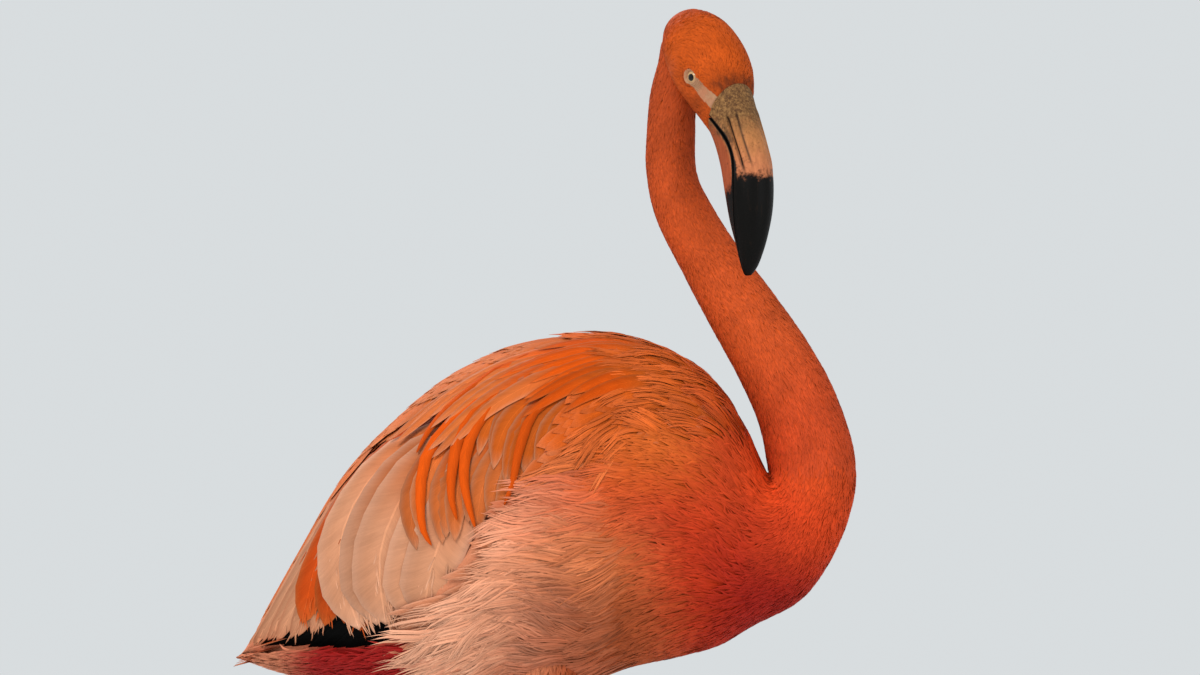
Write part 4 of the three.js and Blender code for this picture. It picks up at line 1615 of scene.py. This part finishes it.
def bill_comb():
    """The fine comb of plates along the upper bill's edge."""
    pile = Pile()
    n, half, root = TEETH["count"], TEETH["half"], TEETH["root"]
    t = np.linspace(TEETH["from"], TEETH["to"], n)
    long = (1.5 * np.sin(np.linspace(0.25, PI - 0.4, n)) + 0.35)[:, None]
    faces = [(0, 1, 2), (0, 3, 1), (1, 3, 2), (2, 3, 0)]
    for sign in (-1, 1):
        edge = mouth_turn(t, MOUTH_GAP / 2) * sign
        p, normal, along, around = BILL.axes(t, edge, -0.35)
        down, ahead = unit(around) * sign, unit(along)
        corners = np.stack([
            p + ahead * half - down * root, p - ahead * half - down * root,
            p + normal * TEETH["thick"] - down * root, p + down * long - normal * TEETH["lean"],
        ], 1)
        flat = np.zeros((n, 4, 2))
        pile.add(corners, faces, np.broadcast_to(hue("black"), corners.shape), flat, flat)
    piece = pile.build("bill_comb")
    face_out(piece)
    mark_bill(piece)
    return piece


def make_bill():
    """Both halves of the bill, and the comb between them."""
    for node in ("bill_upper", "bill_lower"):
        dress(bill_half(f"{node}_horn", node == "bill_upper"), bill_finish, [node])
    dress(bill_comb(), bill_finish)


# ---- Coats ----


ROUND = (-PI, PI)  # the whole way round a form


def body_roots(count, seed, span, keep):
    """Roots on the body: t and turn, their places, and the plumage's colour there."""
    t, turn = scatter(TORSO, count, seed, span, keep)
    p = TORSO.point(t, turn)
    return t, turn, p, torso_tone(p, t, turn)


def head_flow(p):
    """The lie of the head's feathers: back over the skull, then down to the neck."""
    q = to_head(p)
    back = HEAD_BASIS @ np.array([-1.0, 0, 0])
    down = unit(np.array([88.0, 0, 985]) + SHIFT - p)
    share = ease(14, -26, q[..., 0])[..., None] * 0.9 + 0.08
    return unit(back * (1 - share) + down * share)


def make_head_coat():
    """The short feathers of the head."""
    rng, waves = draws(21, 22)
    pile = Pile()

    def keep(p, t, turn):
        return (1 - lids_and_lores(p)) ** 4 * (~inside_neck(p)) * (1.0 + 0.6 * ease(0.3, 0.0, t))

    t, turn = scatter(HEAD, 11000, 1, ((0.0, 0.995), ROUND), keep)
    p = HEAD.point(t, turn)
    q = to_head(p)
    to_eye, _, _ = by_eye(q)
    short, long = chosen("face_feather"), chosen("crown_feather")
    length = short + (long - short) * (ease(34, 6, q[:, 0]) + 0.77 * ease(0, -34, q[:, 0]))
    length = length * (0.3 + 0.7 * ease(6.5, 14, to_eye)) * rng.uniform(0.8, 1.2, len(t))
    tint = head_tone(p)
    hair(pile, HEAD, t, turn, rng, waves, length, 0.85 + 0.09 * length, 0.8, tint, tint * 1.08,
         flow=head_flow, lift=(0.95, -0.1))
    dress(pile.build("coat_head"), plume_finish)


NECK_COATS = {  # count, t, how much longer its feathers are at both ends, and seed
    "coat_neck_upper": (13500, (-0.08, 0.205), (1.0, 1.35), 31),
    "coat_neck_lower": (16500, (0.2, 0.41), (1.35, 2.2), 32),
}


def make_neck_coat():
    """The feathers of the neck."""
    for name, (count, (t0, t1), (first, last), seed) in NECK_COATS.items():
        rng, waves = draws(seed, 34)
        pile = Pile()
        span = (t0, t1), ROUND
        t, turn, _, tint = body_roots(count, seed, span, lambda p, t, turn: 1.0 * ~inside_head(p))
        longer = first + (last - first) * (t - t0) / (t1 - t0)
        length = chosen("neck_feather") * longer * rng.uniform(0.8, 1.2, len(t))
        hair(pile, TORSO, t, turn, rng, waves, length, 1.1 + 0.08 * length, 1.0 + 1.2 * t.mean(), tint,
             tint * 1.1 + 0.015, wander=0.08, lift=(0.95, 0.0))
        dress(pile.build(name), plume_finish)


def crown_line(x):
    """How high the side's soft plumes reach under the back's feathers, at each x."""
    return np.interp(x, [30, 80, 120, 158, 230], [762, 778, 772, 757, 757])


def on_breast(p, t, turn):
    """The breast, in front of the soft plumes of the sides."""
    x, z = p[..., 0], p[..., 2]
    return ease(crown_line(x) + 8, crown_line(x) - 8, z) * ease(34, 62, x) * ease(0.37, 0.40, t)


def make_breast_coat():
    """The feathers of the breast."""
    for name, count, seed, upper in (("coat_breast", 8200, 41, 1), ("coat_breast_low", 7000, 42, 0)):

        def keep(p, t, turn):
            return on_breast(p, t, turn) * abs(upper - ease(0.5, 0.52, t))

        rng, waves = draws(seed, 60)
        pile = Pile()
        t, turn, _, tint = body_roots(count, seed, ((0.38, 0.78), ROUND), keep)
        length = chosen("breast_feather") * (1 + 0.6 * ease(0.42, 0.6, t)) * rng.uniform(0.75, 1.2, len(t))
        hair(pile, TORSO, t, turn, rng, waves, length, 2.5, 2.0, tint, tint * 1.15 + 0.008,
             steps=3, droop=0.1, wander=0.11, bend=0.25, lift=(1.0, -0.3))
        dress(pile.build(name), plume_finish)


def from_edge(p):
    """How far before the side plumes' rear edge a place is."""
    x, z = p[..., 0] - SHIFT[0], p[..., 2]
    edge_x, edge_z = zip(*FLANK_EDGE)
    return x - np.interp(z, edge_z, edge_x) - 12 * ease(745, 700, z)


def on_flank(p, t, turn):
    """The soft plumes of the side, between the wing and the breast."""
    x, z = p[..., 0] - SHIFT[0], p[..., 2]
    low = ease(590, 600, z)
    return ease(20, 42, from_edge(p)) * ease(74, 50, x) * ease(778, 766, z) * (0.35 + 0.65 * low)


def flank_leaves(rng, waves, side, sign, span):
    """The broad feathers of one flank."""
    pile = Pile()
    t, turn, p, tint = body_roots(480, 50 + sign, span, on_flank)
    upper = ease(735, 775, p[:, 2])
    edge = mix(tint, hue("flank_tip"), (0.2 + 0.4 * ease(60, -60, p[:, 0])) * (1 - 0.8 * upper))
    by_edge = ease(75, 25, from_edge(p))
    length = rng.uniform(52, 66, len(t)) * (1 - 0.14 * by_edge)
    half = rng.uniform(7, 10, len(t)) * (1 - 0.3 * by_edge)
    heading = (0.12 + 0.25 * waves(p)) * np.sign(turn)
    leaves(pile, t, turn, rng, length, half, (-3.0, -0.9), tint, edge, heading, columns=4, bend=0.16,
           roll=0.1, tip=0.6)
    dress(pile.build(f"coat_{side}_flank_base"), vane_finish)


def flank_locks(rng, waves, side, sign, span):
    """The long soft plumes over them."""
    pile = Pile()
    t, turn, p, tint = body_roots(400 if sign < 0 else 300, 55 + sign, span, on_flank)
    pale, upper = ease(60, -50, p[:, 0]), ease(730, 775, p[:, 2])
    tip = mix(tint * 1.1, hue("flank_tip"), (0.15 + 0.7 * pale) * (1 - 0.75 * upper))
    length = chosen("flank_plume") * (1 + 0.45 * ease(60, -20, p[:, 0])) * rng.uniform(0.85, 1.15, len(t))
    breadth = rng.uniform(9, 17, len(t))
    locks(pile, t, turn, rng, waves, 12, length, chosen("flank_barb"), breadth, height=(-1.9, (-0.3, 0.9)),
          tint=tint, tip=tip, droop=0.18, wave=0.34, steps=6, split=0.07)
    dress(pile.build(f"coat_{side}_flank"), plume_finish)


def make_flank_coat():
    """The long soft plumes of both sides."""
    for side, sign in SIDES.items():
        rng, waves = draws(52 + sign, 80)
        span = (0.52, 0.98), ((0.35, PI) if sign > 0 else (-PI, -0.35))
        flank_leaves(rng, waves, side, sign, span)
        flank_locks(rng, waves, side, sign, span)


def on_back(p, t, turn):
    """The mantle and shoulders, above the soft plumes and before the long wing feathers."""
    x, z = p[..., 0], p[..., 2]
    rear = np.interp(z, [745, 775, 800], [0, 10, 40])
    low = np.interp(x, [0, 40, 80], [742, 750, 770])
    low = np.maximum(low, crown_line(x) - 10 - 40 * ease(60, 30, x))
    return ease(low, low + 12, z) * ease(rear, rear + 26, x) * ease(0.40, 0.46, t)


MANTLE_SPAN = (0.4, 0.75), (-PI * 0.75, PI * 0.75)


def mantle_tint(p, tint, share):
    """The mantle's colour: the body's, nearer to the scapulars' by a share, and paler towards the flank."""
    pale = ease(795, 755, p[:, 2]) * ease(95, 40, p[:, 0]) * 0.7
    return mix(mix(tint, hue("scapular"), share), hue("flank"), pale)


def mantle_leaves(rng, waves):
    """The overlapping feathers of the mantle."""
    pile = Pile()
    rows = body_roots(460, 61, MANTLE_SPAN, on_back)
    t, turn, p, tint = (row[np.argsort(-rows[0])] for row in rows)
    front = ease(70, 150, p[:, 0])
    tint = mantle_tint(p, tint, 0.4 * (1 - front))
    edge = mix(tint, hue("tertial"), 0.18 + 0.3 * ease(805, 770, p[:, 2])) * 1.08
    length = chosen("mantle_feather") * (1 - 0.46 * front) * rng.uniform(0.85, 1.15, len(t))
    half = chosen("mantle_width") * (1 - 0.42 * front) * rng.uniform(0.85, 1.15, len(t))
    heading = (0.25 + 0.3 * (1 - front)) * np.sign(turn) * ease(0.0, 0.5, np.abs(turn)) + 0.18 * waves(p)
    leaves(pile, t, turn, rng, length, half, (-2.6, -0.5), tint, edge, heading, bend=0.07, tip=0.36)
    dress(pile.build("coat_mantle"), vane_finish)


def mantle_streaks(rng, waves):
    """Loose bright tufts over the mantle."""
    pile = Pile()
    t, turn, p, tint = body_roots(190, 63, MANTLE_SPAN, on_back)
    tint = mantle_tint(p, tint, 0.25)
    length = 34 * rng.uniform(0.8, 1.2, len(t))
    breadth = rng.uniform(6, 11, len(t))
    tip = mix(tint * 1.08, hue("flank_tip"), 0.06)
    locks(pile, t, turn, rng, waves, 9, length, 1.3, breadth, height=(-1.2, (-0.3, 0.4)),
          tint=tint, tip=tip, droop=0.30, wave=0.12, steps=4, split=0.06)
    dress(pile.build("coat_mantle_streaks"), plume_finish)


def make_mantle_coat():
    """The overlapping feathers of the back."""
    rng, waves = draws(61, 60)
    mantle_leaves(rng, waves)
    mantle_streaks(rng, waves)


def on_spine(p, t, turn):
    """The middle of the back, where the two wings meet."""
    wide = 0.62 - 0.36 * ease(0.6, 0.85, t)
    return ease(wide, wide - 0.12, np.abs(turn)) * ease(60, 30, p[:, 0]) * ease(0.945, 0.9, t)


BACK_LAYERS = (  # count, heights of root and tip, and how much lower both are at the rear
    (110, (-9.5, -6.5), (1.5, 3.2)),
    (240, (-3.0, -0.9), (6.3, 7.6)),
)


def make_back_coat():
    """The long loose feathers down the middle of the back."""
    rng, waves = draws(65, 70)
    pile = Pile()
    for count, (low, high), drop in BACK_LAYERS:
        t, turn = scatter(TORSO, count, 66 + count, ((0.5, 0.985), (-0.8, 0.8)), on_spine)
        p = TORSO.point(t, turn)
        rear = ease(0.62, 0.95, t)
        tint = mix(hue("mantle"), hue("tertial_base"), 0.2 + 0.6 * rear)
        edge = mix(tint, hue("tertial"), 0.35 + 0.35 * rear)
        length = chosen("back_feather") * (1 - 0.26 * rear) * rng.uniform(0.85, 1.15, len(t))
        half = (9.5 - 1.5 * rear) * rng.uniform(0.85, 1.15, len(t))
        heading = 0.16 * np.sign(turn) * ease(0.0, 0.4, np.abs(turn)) + 0.10 * waves(p)
        lift = (low - drop[0] * rear, high - drop[1] * rear)
        leaves(pile, t, turn, rng, length, half, lift, tint, edge, heading, steps=7)
    dress(pile.build("coat_back"), vane_finish)


BELLY_EDGE = [
    (-220, 618), (-157, 627), (-118, 625), (-104, 634), (-90, 634), (-71, 612), (-20, 602), (60, 622),
]


def on_rump(p, t, turn):
    """Under the body and the tail, below the edge that the side plumes and the wings leave."""
    x, z = p[..., 0], p[..., 2]
    line = np.interp(x, *zip(*BELLY_EDGE))
    return ease(line, line - 8, z) * ease(70, 40, x) * ease(0.999, 0.97, t)


def make_belly_coat():
    """The feathers under the body and tail."""
    rng, waves = draws(71, 60)
    pile = Pile()
    t, turn, _, tint = body_roots(5000, 71, ((0.55, 0.985), ROUND), on_rump)
    length = chosen("belly_feather") * rng.uniform(0.75, 1.25, len(t))
    hair(pile, TORSO, t, turn, rng, waves, length, 2.2, 4.0, tint, tint * 1.15 + 0.01,
         steps=3, droop=0.05, wander=0.15, bend=0.3, lift=(1.0, 0.1))
    dress(pile.build("coat_belly"), plume_finish)


def make_wings():
    """The long feathers of both wings, and the black ones under them."""
    for side, sign in SIDES.items():
        rng, loose = np.random.default_rng(83 + sign), np.random.default_rng(87 + sign)
        pile, barbs, quills = Pile(), Pile(), Pile()
        cells = Cells(10, 8)
        for row in WING_ROWS.values():
            laid = wing_row(pile, cells, row, sign, rng)
            if "barbs" in row:
                loose_barbs(barbs, laid, row, sign, loose)
        single_plumes(pile, cells, sign, rng)
        dress(pile.build(f"coat_{side}_wing"), vane_finish, [f"{side}_wing"])
        dress(barbs.build(f"coat_{side}_wing_barbs"), plume_finish)
        wing_row(quills, Cells(4, 3), QUILL_ROW, sign, rng)
        dress(quills.build(f"{side}_quill_feathers"), vane_finish, [f"{side}_quills"])


TAIL = {"root": (-132, 640), "tip": (-226, 610), "half_root": 16, "half_tip": 34, "feathers": 9, "half": 10}


def make_tail():
    """The tail feathers."""
    rng = np.random.default_rng(91)
    pile = Pile()
    n, steps = TAIL["feathers"], 8
    share = np.linspace(-1, 1, n)
    run = -0.2 + 1.2 * pace(steps + 1)[:, None]
    reach = 1 - 0.12 * share**2
    x, z = (root + (tip - root) * run * reach for root, tip in zip(TAIL["root"], TAIL["tip"]))
    z = z + 11 * share**2 + 1.2 * (1 - np.abs(share))
    y = share * (TAIL["half_root"] + (TAIL["half_tip"] - TAIL["half_root"]) * run) * 0.85
    places = np.stack([x, y, z], -1) + SHIFT
    normals = np.broadcast_to(unit(np.array([-0.42, 0, 0.91])), places.shape)
    half = outline(steps + 1, 0.22, 0.5)[:, None] * np.full(n, TAIL["half"])
    colour = feather_colour(rng, n, hue("tail"), hue("tail") * 1.1, hue("flank_pale"))
    vanes(pile, rng, places, normals, half, colour, Cells(5, 2).take(n), columns=8, camber=0.1, thickness=0.5,
          blunt=0.35, fray=0.25)
    dress(pile.build("tail_feathers"), vane_finish, ["tail"])


def make_thigh_coats():
    """The feathers of the thighs."""
    rng, waves = draws(95, 40)
    pile = Pile()
    for sign in SIDES.values():
        form = thigh_form(sign)
        t, turn = scatter(form, 3000, 95 + sign, ((0.0, 0.985), ROUND), lambda p, t, turn: 1.0)
        p = form.point(t, turn)
        length = chosen("thigh_feather") * (1 - 0.6 * t) * rng.uniform(0.8, 1.2, len(t))
        flank = torso_tone(p, np.full(len(t), 0.7), np.full(len(t), 2.2))  # as low on the body's side
        tint = mix(flank, hue("flank_pale"), 0.55 * ease(20, -10, p[:, 0]))
        tint = mix(tint, hue("thigh"), ease(618, 565, p[:, 2]))
        hair(pile, form, t, turn, rng, waves, length, 1.9 - 0.7 * t, 1.6, tint, tint * 1.12, bend=0.2)
    dress(pile.build("coat_thighs"), plume_finish)


# ---- Stage ----


def aim(piece, target):
    way = Vector(target) - piece.location
    piece.rotation_euler = way.to_track_quat("-Z", "Y").to_euler()


LIT_PLACE = (0.02, 0.0, 0.75)
LIGHTS = {  # place, width and colour
    "key": ((-1.7, -2.6, 3.0), 1.6, (1.0, 0.975, 0.94)),
    "rim": ((-1.2, 2.6, 2.8), 1.4, (1.0, 0.98, 0.95)),
    "fill": ((2.8, -2.6, 1.1), 2.2, (0.96, 0.98, 1.0)),
}
CAMERA_PLACE = (0.0387, -4.8, 0.848)
SENSOR_WIDTH = 36.0  # millimetres, as the lens is


def soft_light(name, power):
    place, width, colour = LIGHTS[name]
    light = bpy.data.lights.new(f"stage_{name}", "AREA")
    light.shape = "DISK"
    light.size = width
    light.energy = power
    light.color = colour
    lamp = bpy.data.objects.new(light.name, light)
    lamp.location = place
    bpy.context.scene.collection.objects.link(lamp)
    aim(lamp, LIT_PLACE)


def stage_camera(lens):
    scene = bpy.context.scene
    camera = bpy.data.objects.new("stage_camera", bpy.data.cameras.new("stage_camera"))
    camera.data.lens = lens
    camera.data.sensor_width = SENSOR_WIDTH
    camera.location = CAMERA_PLACE
    camera.rotation_euler = (PI / 2, 0.0, 0.0)
    scene.collection.objects.link(camera)
    scene.camera = camera


def stage_air(strength):
    world = bpy.data.worlds.new("stage_air")
    bpy.context.scene.world = world
    world.use_nodes = True
    air = world.node_tree.nodes["Background"]
    air.inputs["Color"].default_value = (0.86, 0.90, 0.92, 1.0)
    air.inputs["Strength"].default_value = strength


def make_stage():
    """The floor, the lights and the camera."""
    stage = bpy.context.scene.flamingo_stage
    clear_selection()
    bpy.ops.mesh.primitive_circle_add(vertices=128, radius=stage.floor_radius, fill_type="NGON")
    floor = bpy.context.active_object
    floor.name = floor.data.name = "stage_floor"
    floor.data.materials.append(floor_finish())
    for name in LIGHTS:
        soft_light(name, getattr(stage, f"{name}_power"))
    stage_air(stage.air)
    stage_camera(stage.lens)
    bpy.context.scene.view_settings.view_transform = "Standard"


# ---- Add-on ----


def paint(name, description, *rgb):
    """A colour that the user can change, given as display red, green and blue."""
    return bpy.props.FloatVectorProperty(
        name=name, description=description, subtype="COLOR", size=3, min=0.0, max=1.0,
        default=tuple(tone(*rgb)),
    )


def measure(name, description, millimetres):
    """A size that the user can change."""
    return bpy.props.FloatProperty(name=name, description=description, default=millimetres * MM, min=0.1 * MM,
                                   subtype="DISTANCE", unit="LENGTH", precision=4)


def setting(name, description, value, low=0.0, unit="NONE"):
    """A value of the stage that the user can change."""
    return bpy.props.FloatProperty(name=name, description=description, default=value, min=low, unit=unit)


class FlamingoSizes(bpy.types.PropertyGroup):
    """The lengths and widths of the feathers, and of the eyes."""

    eye: measure("Eyeball", "Radius of each eyeball", 7.2)
    eye_opening: measure("Eye opening", "Radius of the opening between the lids", 4.7)
    face_feather: measure("Face feathers", "Length of the feathers by the bill", 2.6)
    crown_feather: measure("Crown feathers", "Length of the feathers on the crown", 5.2)
    neck_feather: measure("Neck feathers", "Length of the feathers at the top of the neck", 6.0)
    breast_feather: measure("Breast feathers", "Length of the feathers on the breast's front", 15.0)
    belly_feather: measure("Belly feathers", "Length of the feathers under the body", 20.0)
    thigh_feather: measure("Thigh feathers", "Length of the feathers at the top of the thighs", 18.0)
    mantle_feather: measure("Mantle feathers", "Length of the feathers at the rear of the mantle", 48.0)
    mantle_width: measure("Mantle width", "Half the width of the feathers at the rear of the mantle", 8.5)
    back_feather: measure("Back feathers", "Length of the feathers down the middle of the back", 62.0)
    flank_plume: measure("Flank plumes", "Length of the soft side plumes near the breast", 44.0)
    flank_barb: measure("Flank barbs", "Width of each barb of the side plumes", 1.75)


class FlamingoColours(bpy.types.PropertyGroup):
    """The colours of plumage, skin and horn."""

    crown: paint("Crown", "Short feathers on top of the head", 184, 76, 20)
    face: paint("Face", "Cheeks and throat", 172, 72, 24)
    # Painted shade: darker feathers where they meet the bill.
    bill_edge_shade: paint("Bill_edge_shade", "Dark feathers where the bill begins", 70, 34, 18)
    neck_top: paint("Neck top", "Neck under the head", 166, 62, 12)
    neck_middle: paint("Neck middle", "Middle of the neck", 192, 74, 20)
    neck_low: paint("Neck low", "Neck above the breast", 186, 62, 14)
    crease: paint("Crease", "Where the neck folds into the back", 206, 62, 14)
    breast: paint("Breast", "Front of the breast", 176, 46, 8)
    # Partly the breast's own deeper red, partly painted shade low on the breast.
    breast_low: paint("Lower breast", "Deep red feathers low on the breast", 148, 19, 3)
    shoulder: paint("Shoulder", "Shoulders", 172, 54, 10)
    mantle: paint("Mantle", "Top of the back", 184, 84, 24)
    flank: paint("Flank", "Soft side plumes near the breast", 190, 100, 52)
    flank_pale: paint("Pale flank", "Soft side plumes over the wing", 206, 131, 96)
    # Painted shade low on the side plumes by the breast.
    flank_low: paint("Lower flank", "Soft side plumes low by the breast", 132, 54, 20)
    flank_tip: paint("Flank tips", "Wisps at the ends of the side plumes", 226, 170, 140)
    belly: paint("Belly", "Under the body", 170, 78, 44)
    # Painted shade: the deep crimson shadow under the tail.
    vent_shade: paint("Vent", "Under the tail", 150, 16, 12)
    scapular: paint("Scapulars", "Narrow bright plumes over the wing", 200, 76, 10)
    wing_deep: paint("Deep wing", "Roots of the long wing feathers", 184, 68, 18)
    tertial: paint("Tertials", "Webs of the long inner wing feathers", 196, 136, 102)
    tertial_base: paint("Tertial roots", "Upper webs of the inner wing feathers", 192, 98, 46)
    tail: paint("Tail", "Tail feathers", 180, 86, 44)
    thigh: paint("Thighs", "Feathered thighs", 180, 84, 46)
    black: paint("Black", "Outer wing feathers and the bill's end", 7, 6, 5)
    bare: paint("Bare skin", "Lids, and the strip before the eye", 168, 126, 94)
    leg: paint("Legs", "Scaled skin of the legs and feet", 192, 112, 108)
    bill_pink: paint("Bill, lower", "Horn by the bill's bend", 184, 111, 74)
    bill_tan: paint("Bill, middle", "Horn by the nostril", 172, 112, 66)
    bill_olive: paint("Bill base, pale", "Pale mottling at the bill's base", 148, 110, 66)
    bill_brown: paint("Bill base", "Dark mottled horn at the bill's base", 58, 38, 27)
    iris: paint("Iris", "The eye's coloured ring", 196, 158, 112)


class FlamingoStage(bpy.types.PropertyGroup):
    """The floor, the lights and the camera."""

    floor_radius: setting("Floor radius", "How far the pale floor reaches", 7.0, low=1.0, unit="LENGTH")
    key_power: setting("Key light", "The large soft light before the bird", 90.0, unit="POWER")
    rim_power: setting("Back light", "The light from behind and above", 70.0, unit="POWER")
    fill_power: setting("Fill light", "The low light before the bill", 30.0, unit="POWER")
    air: setting("Air", "Light from all round", 0.8)
    lens: setting("Lens", "The camera's focal length in millimetres", 200.0, low=1.0)


GROUPS = {
    "flamingo_sizes": FlamingoSizes,
    "flamingo_colours": FlamingoColours,
    "flamingo_stage": FlamingoStage,
}


def operator(name, label, make):
    """An operator that makes one group of pieces, and says what the function for it says."""

    def execute(self, context):
        make()
        return {"FINISHED"}

    parts = {
        "__doc__": make.__doc__, "bl_idname": f"flamingo.{name}", "bl_label": label,
        "bl_options": {"REGISTER", "UNDO"}, "execute": execute,
    }
    return type(f"FLAMINGO_OT_{name}", (bpy.types.Operator,), parts)


def make_eyes():
    """The eyes and their lids."""
    for side, sign in SIDES.items():
        make_eye(side, sign)
        make_lids(side, sign)


OPERATORS = [
    operator("skin", "Skin", make_skin),
    operator("claws", "Claws", make_claws),
    operator("eyes", "Eyes", make_eyes),
    operator("bill", "Bill", make_bill),
    operator("head_coat", "Head plumage", make_head_coat),
    operator("neck_coat", "Neck plumage", make_neck_coat),
    operator("breast_coat", "Breast plumage", make_breast_coat),
    operator("belly_coat", "Belly plumage", make_belly_coat),
    operator("thigh_coat", "Thigh plumage", make_thigh_coats),
    operator("wings", "Wings", make_wings),
    operator("tail", "Tail", make_tail),
    operator("mantle_coat", "Mantle", make_mantle_coat),
    operator("back_coat", "Back", make_back_coat),
    operator("flank_coat", "Flanks", make_flank_coat),
    operator("stage", "Stage", make_stage),
]


class FLAMINGO_PT_panel(bpy.types.Panel):
    """Lists the operators, the sizes, the colours and the stage's values."""

    bl_label = "Flamingo"
    bl_idname = "FLAMINGO_PT_panel"
    bl_space_type = "VIEW_3D"
    bl_region_type = "UI"
    bl_category = "Flamingo"

    def draw(self, context):
        column = self.layout.column()
        for each in OPERATORS:
            column.operator(each.bl_idname)
        for label in GROUPS:
            group = getattr(context.scene, label)
            for name in group.__annotations__:
                column.prop(group, name)


CLASSES = [*GROUPS.values(), *OPERATORS, FLAMINGO_PT_panel]


def register():
    for each in CLASSES:
        bpy.utils.register_class(each)
    for name, group in GROUPS.items():
        setattr(bpy.types.Scene, name, bpy.props.PointerProperty(type=group))


def unregister():
    for name in GROUPS:
        delattr(bpy.types.Scene, name)
    for each in reversed(CLASSES):
        bpy.utils.unregister_class(each)


def main():
    register()
    for each in OPERATORS:
        getattr(bpy.ops.flamingo, each.bl_idname.split(".")[1])()


if __name__ == "__main__":
    main()
